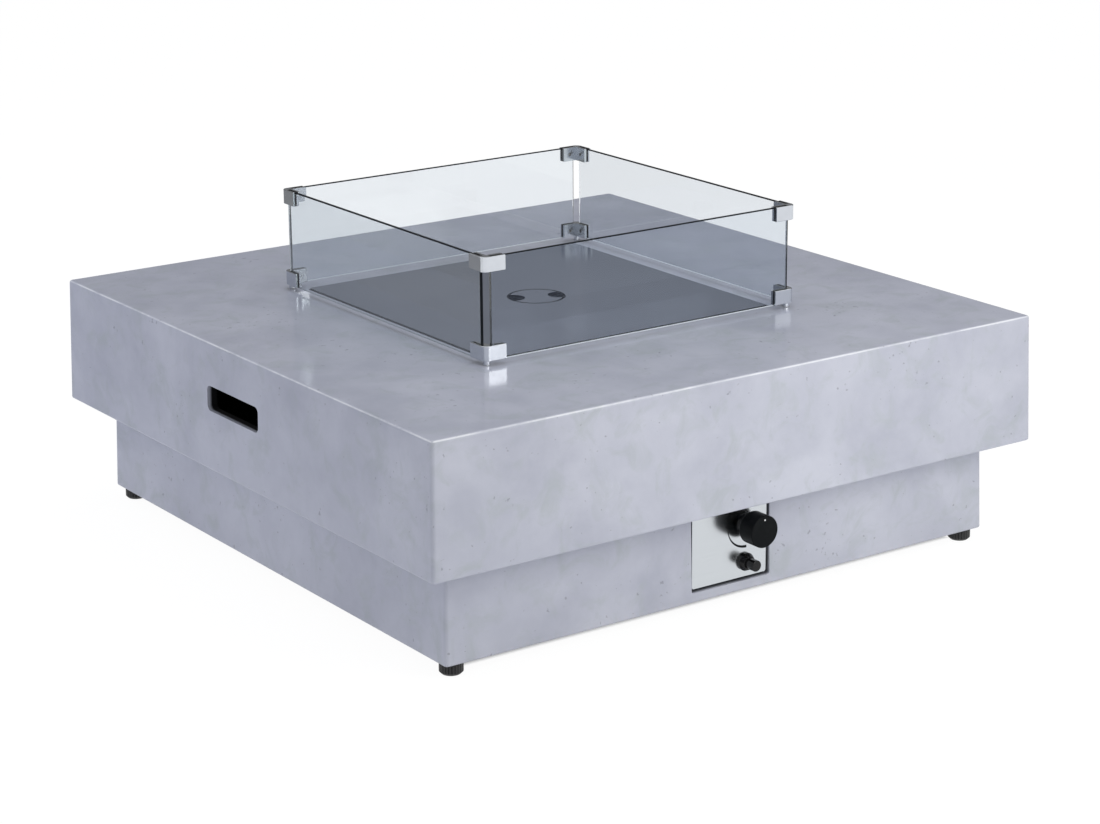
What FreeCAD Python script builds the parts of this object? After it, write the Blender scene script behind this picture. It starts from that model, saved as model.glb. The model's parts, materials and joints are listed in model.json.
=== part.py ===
"""Low square gas fire pit table, in millimetres.

+Z is up, the control panel faces -Y, and the origin is on the floor under the middle of the table.
"""
import FreeCAD, Part
import math
import os

import Sketcher

Vector = FreeCAD.Vector

# Driving dimensions. Lengths are in millimetres, and mould_slope is a rise over run.
SIZES = {
    # Cast casings
    "foot_height": 19.0,
    "base_side": 974.0,
    "base_height": 143.0,
    "base_wall": 14.0,
    "base_floor": 14.0,
    "base_floor_width": 45.0,
    "base_corner_fill": 75.0,
    "slab_side": 1070.0,
    "slab_height": 194.0,
    "slab_wall": 14.0,
    "slab_deck": 14.0,
    "slab_return": 14.0,
    "mould_slope": 0.026,
    "corner_radius": 6.0,
    "arris_radius": 4.0,
    "lower_arris_radius": 3.0,
    # Carry slots in the two sides
    "slot_width": 150.0,
    "slot_height": 38.0,
    "slot_radius": 9.0,
    "slot_drop": 84.0,
    # Burner well, its rebate and the pan
    "ledge_depth": 12.0,
    "well_collar_wall": 14.0,
    "well_collar_depth": 34.0,
    "ledge_width": 19.0,
    "pan_depth": 70.0,
    "pan_sheet": 1.5,
    "pan_corner_radius": 4.5,
    "pan_clearance": 3.0,
    # Lid
    "lid_side": 502.0,
    "lid_sheet": 1.5,
    "lid_gap": 2.5,
    "lid_proud": 2.0,
    "lid_corner_radius": 4.5,
    "lid_bend_radius": 1.4,
    "grip_disc_radius": 42.0,
    "grip_disc_thickness": 2.5,
    "grip_disc_edge": 0.6,
    "grip_hole_radius": 44.0,
    "grip_bridge": 37.0,
    "finger_width": 36.0,
    "grip_post_radius": 8.0,
    "grip_cup_sheet": 1.2,
    "grip_cup_depth": 24.0,
    "grip_cup_flange": 9.0,
    # Wind guard
    "guard_margin": 30.0,
    "glass_thickness": 5.0,
    "glass_height": 150.5,
    "glass_lift": 6.5,
    "glass_corner_gap": 14.2,
    "glass_edge": 0.7,
    "gasket_thickness": 0.8,
    "clip_leg": 37.0,
    "clip_thickness": 13.0,
    "clip_height": 22.0,
    "clip_lip": 2.4,
    "clip_round": 10.0,
    "clip_edge": 0.6,
    "clip_inset": 0.5,
    "set_screw_radius": 3.0,
    "set_screw_socket": 3.0,
    "set_screw_socket_depth": 2.0,
    "screw_clearance": 0.05,
    "post_radius": 5.0,
    "post_inset": 9.2,
    "post_pad_radius": 4.4,
    "post_pad_height": 1.0,
    # Control panel
    "panel_width": 142.0,
    "panel_height": 122.0,
    "panel_rise": 14.5,
    "panel_recess": 1.0,
    "panel_fold": 8.0,
    "panel_ledge": 6.0,
    "panel_bend": 1.4,
    "panel_sheet": 1.2,
    "panel_gap": 3.2,
    "panel_corner_radius": 4.0,
    "control_offset": 28.5,
    "knob_rise": 98.0,
    "igniter_rise": 41.4,
    "panel_stud_radius": 2.0,
    "panel_stud_offset": 50.0,
    "panel_stud_length": 21.0,
    "lower_bar_rise": 24.0,
    "upper_bar_rise": 125.5,
    "bar_width": 10.0,
    "bar_thickness": 3.0,
    "bar_overhang": 15.0,
    "panel_nut_width": 7.0,
    "panel_nut_height": 3.2,
    # Control valve and knob, measured along the spindle from the panel's face
    "knob_radius": 24.0,
    "knob_length": 29.0,
    "knob_gap": 15.0,
    "knob_edge": 1.5,
    "knob_neck_radius": 9.5,
    "knob_neck_length": 4.0,
    "knob_socket_depth": 20.0,
    "knob_press": 5.0,
    "spindle_radius": 4.0,
    "spindle_flat": 1.2,
    "spindle_reach": 26.0,
    "running_clearance": 0.05,
    "valve_boss_radius": 9.0,
    "bezel_radius": 13.0,
    "bezel_thickness": 5.0,
    "valve_width": 34.0,
    "valve_length": 55.0,
    "plunger_radius": 7.0,
    "plunger_length": 9.0,
    "plunger_gap": 0.3,
    "plunger_room": 1.0,
    "valve_port_radius": 8.0,
    "valve_port_length": 16.0,
    # Gas inlet, for a hose with a swivel nut
    "inlet_radius": 7.9,
    "inlet_length": 16.0,
    "inlet_bore_radius": 4.0,
    "inlet_elbow_width": 18.0,
    # Igniter
    "igniter_radius": 10.0,
    "igniter_length": 62.0,
    "igniter_bezel_radius": 13.5,
    "igniter_bezel_rim": 4.0,
    "igniter_collar_radius": 10.0,
    "igniter_bezel_height": 11.0,
    "igniter_cap_radius": 8.4,
    "igniter_cap_height": 16.0,
    "igniter_cap_edge": 1.5,
    "igniter_press": 4.0,
    "igniter_bore_radius": 7.8,
    "igniter_plunger_depth": 8.0,
    "igniter_bore_depth": 58.0,
    "battery_radius": 7.2,
    "battery_length": 44.0,
    "igniter_locknut_width": 28.0,
    "igniter_locknut_height": 6.0,
    # Burner
    "burner_tube_radius": 8.0,
    "burner_cross_radius": 7.0,
    "burner_tube_length": 330.0,
    "burner_tube_offset": 115.0,
    "burner_rise": 26.0,
    "burner_hub_radius": 18.0,
    "burner_hub_height": 36.5,
    "burner_port_radius": 1.5,
    "burner_port_pitch": 32.0,
    "cross_port_offset": 62.5,
    "cross_port_pitch": 22.4,
    "nipple_radius": 10.0,
    "nipple_length": 30.0,
    "nipple_wall": 3.0,
    "hub_nut_width": 32.0,
    "hub_nut_height": 8.0,
    "mixer_radius": 14.0,
    "mixer_length": 80.0,
    "mixer_bore_radius": 10.0,
    "mixer_floor": 6.0,
    "mixer_window_width": 9.0,
    "mixer_window_height": 24.0,
    "mixer_window_rise": 18.0,
    "orifice_radius": 5.0,
    "orifice_hex": 16.0,
    "orifice_hex_height": 22.0,
    "orifice_reach": 12.0,
    "feed_tube_radius": 5.0,
    "feed_sweep": 160.0,
    "lead_radius": 1.5,
    "capillary_radius": 1.0,
    "lead_sweep": 95.0,
    "straight_end": 15.0,
    # Flame sensors on the pan
    "sensor_distance": 34.0,
    "sensor_spacing": 28.0,
    "electrode_radius": 3.5,
    "electrode_wire_radius": 1.0,
    "thermocouple_radius": 3.0,
    "sensor_height": 22.0,
    "sensor_drop": 10.0,
    "bracket_sheet": 1.5,
    "bracket_width": 56.0,
    "bracket_depth": 18.0,
    "bracket_rise": 12.0,
    # Straps and bolts that join the two casings
    "strap_offset": 250.0,
    "strap_width": 30.0,
    "strap_thickness": 3.0,
    "strap_below": 32.0,
    "bolt_radius": 3.0,
    "bolt_drop": 18.0,
    "bolt_depth": 9.0,
    "bolt_head_radius": 5.5,
    "bolt_head_height": 4.0,
    # Feet
    "foot_inset": 23.5,
    "foot_radius": 17.0,
    "foot_gap": 0.3,
    "foot_arris": 3.5,
    "foot_groove_depth": 0.9,
    "foot_groove_width": 2.2,
    "foot_stud_radius": 4.0,
    "foot_stud_length": 24.0,
    "insert_radius": 6.0,
    "insert_length": 26.0,
    # Hose hole in the back of the base
    "hose_hole_radius": 16.0,
    "hose_hole_rise": 45.0,
    "hose_hole_offset": 150.0,
}
FOOT_GROOVE_COUNT = 24
BURNER_PORT_COUNT = 10
CROSS_PORT_COUNT = 3
TUBE_RUN_COUNT = 9
INLET_TILT = 45
GRIP_TURN = -20

doc = FreeCAD.newDocument("fire_pit_table")
sheet = doc.addObject("Spreadsheet::Sheet", "sizes")
for row, (alias, number) in enumerate(SIZES.items(), start=1):
    sheet.set(f"A{row}", alias)
    sheet.set(f"B{row}", str(number))
    sheet.setAlias(f"B{row}", alias)
doc.recompute()


class Size:
    """A length with the formula that works it out from the sheet, and its present value."""

    def __init__(self, formula, value):
        self.formula = formula
        self.value = value

    def _joined(self, other, sign, value):
        return Size(f"({self.formula} {sign} {as_size(other).formula})", value)

    def __add__(self, other):
        return self._joined(other, "+", self.value + as_size(other).value)

    def __sub__(self, other):
        return self._joined(other, "-", self.value - as_size(other).value)

    def __mul__(self, other):
        return self._joined(other, "*", self.value * as_size(other).value)

    def __truediv__(self, other):
        return self._joined(other, "/", self.value / as_size(other).value)

    def __neg__(self):
        return as_size(0.0) - self


class Sheet:
    """Reads a driving dimension by its name."""

    def __getattr__(self, alias):
        return Size(f"sizes.{alias}", float(sheet.get(alias)))


def as_size(number):
    """A plain number as a Size, and a Size as it is."""
    if isinstance(number, Size):
        return number
    return Size(f"({float(number)})", float(number))


S = Sheet()
ZERO = as_size(0.0)

# Levels above the floor
base_bottom = S.foot_height
base_top = base_bottom + S.base_height
slab_top = base_top + S.slab_height
ledge = slab_top - S.ledge_depth
lid_bottom = ledge + S.pan_sheet
lid_top = slab_top + S.lid_proud
pan_bottom = ledge - S.pan_depth
pan_floor = pan_bottom + S.pan_sheet

# Half widths of the casings
base_hollow = S.base_side / 2 - S.base_height * S.mould_slope - S.base_wall
slab_hollow = S.slab_side / 2 - S.slab_height * S.mould_slope - S.slab_wall
pan_half = S.lid_side / 2 - S.ledge_width
well_half = pan_half + S.pan_clearance
rebate_half = S.lid_side / 2 + S.lid_gap
foot_place = S.base_side / 2 - S.foot_inset

# Control panel, seen from the front
panel_low = base_bottom + S.panel_rise
panel_high = panel_low + S.panel_height
panel_front = S.base_side / 2 - (S.panel_rise + S.panel_height) * S.mould_slope
panel_face = panel_front - S.panel_recess
panel_back = panel_face - S.panel_sheet
panel_seat = panel_face - S.panel_fold
knob_level = base_bottom + S.knob_rise
igniter_level = base_bottom + S.igniter_rise

# Wind guard
guard_half = S.lid_side / 2 + S.guard_margin
slot_outer = guard_half - S.clip_lip
glass_outer = slot_outer - S.gasket_thickness
glass_inner = glass_outer - S.glass_thickness
slot_inner = glass_inner - S.gasket_thickness
glass_half = guard_half - S.glass_corner_gap
clip_inner = guard_half - S.clip_thickness
clip_end = guard_half - S.clip_leg
set_screw_place = (clip_inner + clip_end) / 2
glass_bottom = slab_top + S.glass_lift
glass_top = glass_bottom + S.glass_height
lower_clip_bottom = glass_bottom + S.clip_inset
upper_clip_bottom = glass_top + S.clip_inset - S.clip_height
post_place = guard_half - S.post_inset

nodes = []


def bind(obj, prop, size):
    """Ties a property to the sheet by its formula."""
    obj.setExpression(prop, as_size(size).formula)


def keep(obj, label):
    """Makes an object one of the named sub-parts."""
    obj.Label = label
    nodes.append(obj)
    return obj


def move(obj, x=ZERO, y=ZERO, z=ZERO):
    """Places an object by formulas."""
    for axis, size in zip("xyz", (x, y, z)):
        bind(obj, f".Placement.Base.{axis}", size)
    return obj


def new_body(name):
    return doc.addObject("PartDesign::Body", name)


def new_sketch(body, role, offset=ZERO):
    """A sketch on one of the body's origin planes, moved along the plane's normal."""
    sketch = body.newObject("Sketcher::SketchObject", f"{body.Name}_sketch")
    plane = next(f for f in body.Origin.OriginFeatures if f.Role == role)
    sketch.AttachmentSupport = [(plane, "")]
    sketch.MapMode = "FlatFace"
    bind(sketch, ".AttachmentOffset.Base.z", offset)
    return sketch


def outline(sketch, corners):
    """A closed run of lines through corners, each tied to the sheet."""
    corners = [(as_size(x), as_size(y)) for x, y in corners]
    first = sketch.GeometryCount
    places = [Vector(x.value, y.value, 0) for x, y in corners]
    count = len(corners)
    for i in range(count):
        sketch.addGeometry(Part.LineSegment(places[i], places[(i + 1) % count]), False)
    for i in range(count):
        following = first + (i + 1) % count
        sketch.addConstraint(Sketcher.Constraint("Coincident", first + i, 2, following, 1))
    for i, (x, y) in enumerate(corners):
        for kind, size in (("DistanceX", x), ("DistanceY", y)):
            made = sketch.addConstraint(Sketcher.Constraint(kind, -1, 1, first + i, 1, size.value))
            bind(sketch, f"Constraints[{made}]", size)
    return sketch


def rectangle(sketch, left, right, low, high):
    return outline(sketch, [(left, low), (right, low), (right, high), (left, high)])


def square(sketch, half):
    return rectangle(sketch, -half, half, -half, half)


def circle(sketch, x, y, radius):
    x, y, radius = as_size(x), as_size(y), as_size(radius)
    shape = Part.Circle(Vector(x.value, y.value, 0), Vector(0, 0, 1), radius.value)
    index = sketch.addGeometry(shape, False)
    for kind, size in (("DistanceX", x), ("DistanceY", y)):
        made = sketch.addConstraint(Sketcher.Constraint(kind, -1, 1, index, 3, size.value))
        bind(sketch, f"Constraints[{made}]", size)
    made = sketch.addConstraint(Sketcher.Constraint("Radius", index, radius.value))
    bind(sketch, f"Constraints[{made}]", radius)
    return sketch


def hexagon(sketch, x, y, across):
    """A six-sided outline, flats up and down, of the given width across flats."""
    x, y, radius = as_size(x), as_size(y), across / math.sqrt(3.0)
    turns = [math.radians(60 * i) for i in range(6)]
    return outline(sketch, [(x + radius * math.cos(a), y + radius * math.sin(a)) for a in turns])


def pad(body, sketch, length, backwards=False, slope=None):
    """Adds material along the sketch's normal; slope draws the sides in."""
    feature = body.newObject("PartDesign::Pad", f"{body.Name}_pad")
    feature.Profile = sketch
    feature.Reversed = backwards
    bind(feature, "Length", length)
    if slope is not None:
        feature.setExpression("TaperAngle", f"-atan({slope.formula})")
    doc.recompute()
    return feature


def pocket(body, sketch, length, backwards=False, both_ways=False):
    """Cuts material against the sketch's normal, or along it when backwards."""
    before = body.Shape.Volume
    feature = body.newObject("PartDesign::Pocket", f"{body.Name}_pocket")
    feature.Profile = sketch
    feature.Reversed = backwards
    feature.Midplane = both_ways
    bind(feature, "Length", length)
    doc.recompute()
    if not body.Shape.Volume < before:
        raise ValueError(f"{feature.Name} cuts nothing")
    return feature


def revolve(body, sketch):
    """Turns a sketch about its upright axis."""
    feature = body.newObject("PartDesign::Revolution", f"{body.Name}_revolution")
    feature.Profile = sketch
    feature.ReferenceAxis = (sketch, ["V_Axis"])
    feature.Angle = 360
    doc.recompute()
    return feature


def edges(feature, test):
    """Names of the edges of a feature that pass a test."""
    return [f"Edge{n}" for n, edge in enumerate(feature.Shape.Edges, start=1) if test(edge)]


def soften(body, kind, names, size):
    """Rounds or bevels edges of the body's last feature."""
    if not names:
        raise ValueError(f"{body.Name}: no edges to soften")
    feature = body.newObject(f"PartDesign::{kind}", f"{body.Name}_{kind.lower()}")
    feature.Base = (body.Group[-2], names)
    bind(feature, "Radius" if kind == "Fillet" else "Size", size)
    doc.recompute()
    return feature


def runs_along(edge, axis):
    """True for a straight edge that runs along an axis, within the slope of a mould."""
    if len(edge.Vertexes) < 2:
        return False
    step = edge.Vertexes[1].Point - edge.Vertexes[0].Point
    return step.Length > 0 and abs(step.normalize().dot(axis)) > 0.99


def is_upright(edge):
    return runs_along(edge, Vector(0, 0, 1))


def is_level(edge, height):
    """True for an edge that lies at one height."""
    box = edge.BoundBox
    level = as_size(height).value
    return abs(box.ZMin - level) < 1e-4 and abs(box.ZMax - level) < 1e-4


def reach(edge):
    """How far from the middle an edge lies, in X or Y."""
    middle = edge.CenterOfMass
    return max(abs(middle.x), abs(middle.y))


def mirrored(source, label, normal):
    """A mirror image of an object through the middle of the table."""
    image = doc.addObject("Part::Mirroring", f"{label}_mirror")
    image.Source = source
    image.Base = Vector(0, 0, 0)
    image.Normal = normal
    image.Label = f"{label}_mirror"
    return image


def at_four_corners(source, label):
    """The object and its mirror images, front left first, then front right, back left, back right."""
    right = mirrored(source, f"{label}_right", Vector(1, 0, 0))
    back = mirrored(source, f"{label}_back", Vector(0, 1, 0))
    across = mirrored(right, f"{label}_across", Vector(0, 1, 0))
    return [source, right, back, across]


def group(label, members):
    """One node that holds several separate solids."""
    compound = doc.addObject("Part::Compound", label)
    compound.Links = members
    return keep(compound, label)


def primitive(kind, name, **sizes):
    """A Part primitive with its sizes tied to the sheet."""
    obj = doc.addObject(f"Part::{kind}", name)
    for prop, size in sizes.items():
        bind(obj, prop, size)
    return obj


def turned(obj, axis, degrees):
    obj.Placement = FreeCAD.Placement(obj.Placement.Base, FreeCAD.Rotation(axis, degrees))
    return obj


def cut(name, base, tool):
    result = doc.addObject("Part::Cut", name)
    result.Base = base
    result.Tool = tool
    return result


def upper_casing():
    """Hollow slab with the burner well, a rebate for the lid, carry slots and a return underneath."""
    body = new_body("upper_casing")
    block = pad(body, square(new_sketch(body, "XY_Plane", base_top), S.slab_side / 2),
                S.slab_height, slope=S.mould_slope)
    rounded = soften(body, "Fillet", edges(block, is_upright), S.corner_radius)
    rounded = soften(body, "Fillet", edges(rounded, lambda e: is_level(e, slab_top)), S.arris_radius)
    soften(body, "Fillet", edges(rounded, lambda e: is_level(e, base_top)), S.lower_arris_radius)
    cavity = new_sketch(body, "XY_Plane", base_top + S.slab_return)
    pocket(body, square(cavity, slab_hollow), S.slab_height - S.slab_return - S.slab_deck, True)
    mouth = new_sketch(body, "XY_Plane", base_top)
    pocket(body, square(mouth, base_hollow), S.slab_return, True)
    collar = new_sketch(body, "XY_Plane", slab_top - S.well_collar_depth)
    pad(body, square(collar, rebate_half + S.well_collar_wall), S.well_collar_depth - S.slab_deck)
    pocket(body, square(new_sketch(body, "XY_Plane", slab_top), rebate_half), S.ledge_depth)
    well = pocket(body, square(new_sketch(body, "XY_Plane", ledge), well_half), S.well_collar_depth)
    soften(body, "Fillet", edges(well, lambda e: is_upright(e) and e.BoundBox.ZMin > ledge.value - 1e-4),
           S.lid_corner_radius + S.lid_gap)
    slots = new_sketch(body, "YZ_Plane")
    middle = slab_top - S.slot_drop
    rectangle(slots, -S.slot_width / 2, S.slot_width / 2,
              middle - S.slot_height / 2, middle + S.slot_height / 2)
    opened = pocket(body, slots, S.slab_side, both_ways=True)
    slot_ends = edges(opened, lambda e: runs_along(e, Vector(1, 0, 0))
                      and abs(abs(e.CenterOfMass.y) - S.slot_width.value / 2) < 1e-4
                      and abs(abs(e.CenterOfMass.z - middle.value) - S.slot_height.value / 2) < 1e-4)
    soften(body, "Fillet", slot_ends, S.slot_radius)
    bolts = new_sketch(body, "XZ_Plane")
    for side in (-S.strap_offset, S.strap_offset):
        circle(bolts, side, base_top + S.slab_return / 2, S.bolt_radius + S.screw_clearance)
    pocket(body, bolts, (base_hollow + S.bolt_depth) * 2, both_ways=True)
    return keep(body, "upper_casing")


def base_casing():
    """Open plinth with thick corners for the feet, an inner floor ring and the control opening."""
    body = new_body("base_casing")
    block = pad(body, square(new_sketch(body, "XY_Plane", base_bottom), S.base_side / 2),
                S.base_height, slope=S.mould_slope)
    rounded = soften(body, "Fillet", edges(block, is_upright), S.corner_radius)
    soften(body, "Fillet", edges(rounded, lambda e: is_level(e, base_bottom)), S.lower_arris_radius)
    near = base_hollow - S.base_corner_fill
    octagon = [(near, -base_hollow), (base_hollow, -near), (base_hollow, near), (near, base_hollow),
               (-near, base_hollow), (-base_hollow, near), (-base_hollow, -near), (-near, -base_hollow)]
    hollow = new_sketch(body, "XY_Plane", base_top)
    pocket(body, outline(hollow, octagon), S.base_height - S.base_floor)
    floor = new_sketch(body, "XY_Plane", base_bottom)
    pocket(body, square(floor, base_hollow - S.base_floor_width), S.base_floor, True)
    half = S.panel_width / 2
    panel = new_sketch(body, "XZ_Plane", panel_seat)
    rectangle(panel, -half, half, panel_low, panel_high)
    opened = pocket(body, panel, S.base_wall, True)
    corners = edges(opened, lambda e: runs_along(e, Vector(0, 1, 0)) and e.CenterOfMass.y < 0
                    and abs(abs(e.CenterOfMass.x) - half.value) < 1e-4)
    soften(body, "Fillet", corners, S.panel_corner_radius)
    behind = new_sketch(body, "XZ_Plane", panel_seat)
    inner = half - S.panel_ledge
    rectangle(behind, -inner, inner, panel_low + S.panel_ledge, panel_high - S.panel_ledge)
    pocket(body, behind, S.base_wall)
    inserts = new_sketch(body, "XY_Plane", base_bottom)
    for x in (-foot_place, foot_place):
        for y in (-foot_place, foot_place):
            circle(inserts, x, y, S.insert_radius + S.screw_clearance)
    pocket(body, inserts, S.insert_length, True)
    bolts = new_sketch(body, "XZ_Plane")
    for side in (-S.strap_offset, S.strap_offset):
        circle(bolts, side, base_top - S.bolt_drop, S.bolt_radius + S.screw_clearance)
    pocket(body, bolts, (base_hollow + S.bolt_depth) * 2, both_ways=True)
    hose = new_sketch(body, "XZ_Plane", -(base_hollow - S.base_wall))
    circle(hose, -S.hose_hole_offset, base_bottom + S.hose_hole_rise, S.hose_hole_radius)
    pocket(body, hose, S.base_wall * 3)
    return keep(body, "base_casing")


def joining_straps():
    """Flat plates on the inner faces that tie the two casings together, and their bolts."""
    strap = primitive("Box", "strap", Length=S.strap_width, Width=S.strap_thickness,
                      Height=S.strap_below + S.slab_return)
    move(strap, -S.strap_offset - S.strap_width / 2, -base_hollow, base_top - S.strap_below)
    levels = (base_top - S.bolt_drop, base_top + S.slab_return / 2)
    drills = []
    bolts = []
    for name, level in zip(("lower", "upper"), levels):
        drill = primitive("Cylinder", f"strap_drill_{name}", Radius=S.bolt_radius + S.screw_clearance,
                          Height=S.strap_thickness * 3)
        turned(drill, Vector(1, 0, 0), -90)
        drills.append(move(drill, -S.strap_offset, -base_hollow - S.strap_thickness, level))
        body = new_body(f"strap_bolt_{name}")
        shank = new_sketch(body, "XZ_Plane")
        pad(body, circle(shank, 0, 0, S.bolt_radius), S.bolt_depth + S.strap_thickness)
        head = new_sketch(body, "XZ_Plane")
        pad(body, circle(head, 0, 0, S.bolt_head_radius), S.bolt_head_height, True)
        socket = new_sketch(body, "XZ_Plane", -S.bolt_head_height)
        pocket(body, hexagon(socket, 0, 0, S.bolt_head_height), S.bolt_head_height / 2, True)
        bolts.append(move(body, -S.strap_offset, S.strap_thickness - base_hollow, level))
    both = doc.addObject("Part::MultiFuse", "strap_drills")
    both.Shapes = drills
    plate = cut("strap_plate", strap, both)
    group("joining_straps", at_four_corners(plate, "strap"))
    pair = doc.addObject("Part::Compound", "strap_bolt_pair")
    pair.Links = bolts
    group("strap_bolts", at_four_corners(pair, "strap_bolt"))


def foot_inserts():
    """Threaded steel sleeves cast into the base's corners."""
    outer = primitive("Cylinder", "insert_outer", Radius=S.insert_radius, Height=S.insert_length)
    inner = primitive("Cylinder", "insert_inner", Radius=S.foot_stud_radius + S.running_clearance,
                      Height=S.insert_length)
    for cylinder in (outer, inner):
        move(cylinder, -foot_place, -foot_place, base_bottom)
    sleeve = cut("insert_sleeve", outer, inner)
    group("foot_inserts", at_four_corners(sleeve, "insert"))


def levelling_foot(label, x, y):
    """Round ribbed foot with a threaded stud, drawn about its own axis and placed at a corner."""
    body = new_body(label)
    bottom = S.foot_gap - S.foot_height
    profile = new_sketch(body, "XZ_Plane")
    outline(profile, [(0, bottom), (S.foot_radius, bottom), (S.foot_radius, 0), (S.foot_stud_radius, 0),
                      (S.foot_stud_radius, S.foot_stud_length), (0, S.foot_stud_length)])
    turned_shape = revolve(body, profile)
    soften(body, "Chamfer", edges(turned_shape, lambda e: is_level(e, bottom)), S.foot_arris)
    groove = new_sketch(body, "XY_Plane", bottom)
    past = S.foot_radius + S.foot_gap
    outline(groove, [(S.foot_radius - S.foot_groove_depth, 0), (past, -S.foot_groove_width / 2),
                     (past, S.foot_groove_width / 2)])
    first = pocket(body, groove, S.foot_height, True)
    ring = body.newObject("PartDesign::PolarPattern", f"{body.Name}_ribs")
    ring.Originals = [first]
    ring.Axis = (groove, ["N_Axis"])
    ring.Angle = 360
    ring.Occurrences = FOOT_GROOVE_COUNT
    body.Tip = ring
    doc.recompute()
    move(body, x, y, base_bottom - S.foot_gap)
    return keep(body, label)


def burner_pan():
    """Folded steel pan that hangs by its flange on the ledge of the well."""
    body = new_body("burner_pan")
    tub = pad(body, square(new_sketch(body, "XY_Plane", pan_bottom), pan_half), S.pan_depth)
    soften(body, "Fillet", edges(tub, is_upright), S.pan_corner_radius)
    flange = pad(body, square(new_sketch(body, "XY_Plane", ledge), S.lid_side / 2), S.pan_sheet)
    rim = edges(flange, lambda e: is_upright(e) and reach(e) > (S.lid_side.value - S.ledge_width.value) / 2)
    soften(body, "Fillet", rim, S.lid_corner_radius)
    inside = pan_half - S.pan_sheet
    well = pocket(body, square(new_sketch(body, "XY_Plane", ledge + S.pan_sheet), inside), S.pan_depth)
    inner_corners = edges(well, lambda e: is_upright(e) and abs(reach(e) - inside.value) < 1e-3)
    soften(body, "Fillet", inner_corners, S.pan_corner_radius - S.pan_sheet)
    holes = new_sketch(body, "XY_Plane", pan_floor)
    circle(holes, 0, 0, S.nipple_radius + S.running_clearance)
    circle(holes, -S.sensor_spacing / 2, sensor_line, S.electrode_radius + S.running_clearance)
    circle(holes, S.sensor_spacing / 2, sensor_line, S.thermocouple_radius + S.running_clearance)
    pocket(body, holes, S.pan_sheet)
    return keep(body, "burner_pan")


def burner():
    """Two ported side tubes on a cross tube, fed from a hub whose nipple goes through the pan."""
    body = new_body("burner")
    level = pan_floor + S.burner_rise
    hub = new_sketch(body, "XY_Plane", pan_floor)
    pad(body, circle(hub, 0, 0, S.burner_hub_radius), S.burner_hub_height)
    cross = new_sketch(body, "YZ_Plane", -S.burner_tube_offset)
    pad(body, circle(cross, 0, level, S.burner_cross_radius), S.burner_tube_offset * 2)
    side = new_sketch(body, "XZ_Plane", -S.burner_tube_length / 2)
    for x in (-S.burner_tube_offset, S.burner_tube_offset):
        circle(side, x, level, S.burner_tube_radius)
    pad(body, side, S.burner_tube_length)
    nipple = new_sketch(body, "XY_Plane", pan_floor)
    pad(body, circle(nipple, 0, 0, S.nipple_radius), S.nipple_length + S.pan_sheet, True)
    ports = new_sketch(body, "XY_Plane", level + S.burner_tube_radius)
    for side_of in (-S.burner_tube_offset, S.burner_tube_offset):
        for place in range(BURNER_PORT_COUNT):
            step = place - (BURNER_PORT_COUNT - 1) / 2
            circle(ports, side_of, S.burner_port_pitch * step, S.burner_port_radius)
    for place in range(CROSS_PORT_COUNT):
        step = place - (CROSS_PORT_COUNT - 1) / 2
        for middle in (-S.cross_port_offset, S.cross_port_offset):
            circle(ports, middle + S.cross_port_pitch * step, 0, S.burner_port_radius)
    pocket(body, ports, S.burner_tube_radius)
    bore = new_sketch(body, "XY_Plane", pan_bottom - S.nipple_length)
    pocket(body, circle(bore, 0, 0, S.nipple_radius - S.nipple_wall), S.nipple_length + S.burner_rise, True)
    return keep(body, "burner")


def burner_nut():
    """Hexagon nut that holds the burner's nipple under the pan."""
    body = new_body("burner_nut")
    pad(body, hexagon(new_sketch(body, "XY_Plane", pan_bottom), ZERO, ZERO, S.hub_nut_width),
        S.hub_nut_height, True)
    bore = new_sketch(body, "XY_Plane", pan_bottom)
    pocket(body, circle(bore, 0, 0, S.nipple_radius + S.running_clearance), S.hub_nut_height)
    return keep(body, "burner_nut")


mixer_top = pan_bottom - S.hub_nut_height
mixer_bottom = mixer_top - S.mixer_length
sensor_line = -(S.burner_tube_length / 2 - S.sensor_distance)


def air_mixer():
    """Upright tube that draws air in through four windows, screwed on the burner's nipple."""
    body = new_body("air_mixer")
    pad(body, circle(new_sketch(body, "XY_Plane", mixer_bottom), 0, 0, S.mixer_radius), S.mixer_length)
    bore = new_sketch(body, "XY_Plane", mixer_top)
    throat = S.mixer_bore_radius + S.running_clearance
    pocket(body, circle(bore, 0, 0, throat), S.mixer_length - S.mixer_floor)
    low = mixer_bottom + S.mixer_window_rise
    high = low + S.mixer_window_height
    half = S.mixer_window_width / 2
    for role in ("XZ_Plane", "YZ_Plane"):
        window = new_sketch(body, role)
        rectangle(window, -half, half, low, high)
        pocket(body, window, S.mixer_radius * 3, both_ways=True)
    seat = new_sketch(body, "XY_Plane", mixer_bottom)
    pocket(body, circle(seat, 0, 0, S.orifice_radius + S.running_clearance), S.mixer_floor, True)
    return keep(body, "air_mixer")


def orifice_fitting():
    """Brass jet holder: a hexagon under the mixer with a nozzle that reaches inside."""
    body = new_body("orifice_fitting")
    pad(body, hexagon(new_sketch(body, "XY_Plane", mixer_bottom), ZERO, ZERO, S.orifice_hex),
        S.orifice_hex_height, True)
    pad(body, circle(new_sketch(body, "XY_Plane", mixer_bottom), 0, 0, S.orifice_radius), S.orifice_reach)
    jet = new_sketch(body, "XY_Plane", mixer_bottom + S.orifice_reach)
    pocket(body, circle(jet, 0, 0, S.orifice_radius / 4), S.orifice_reach)
    return keep(body, "orifice_fitting")


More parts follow.
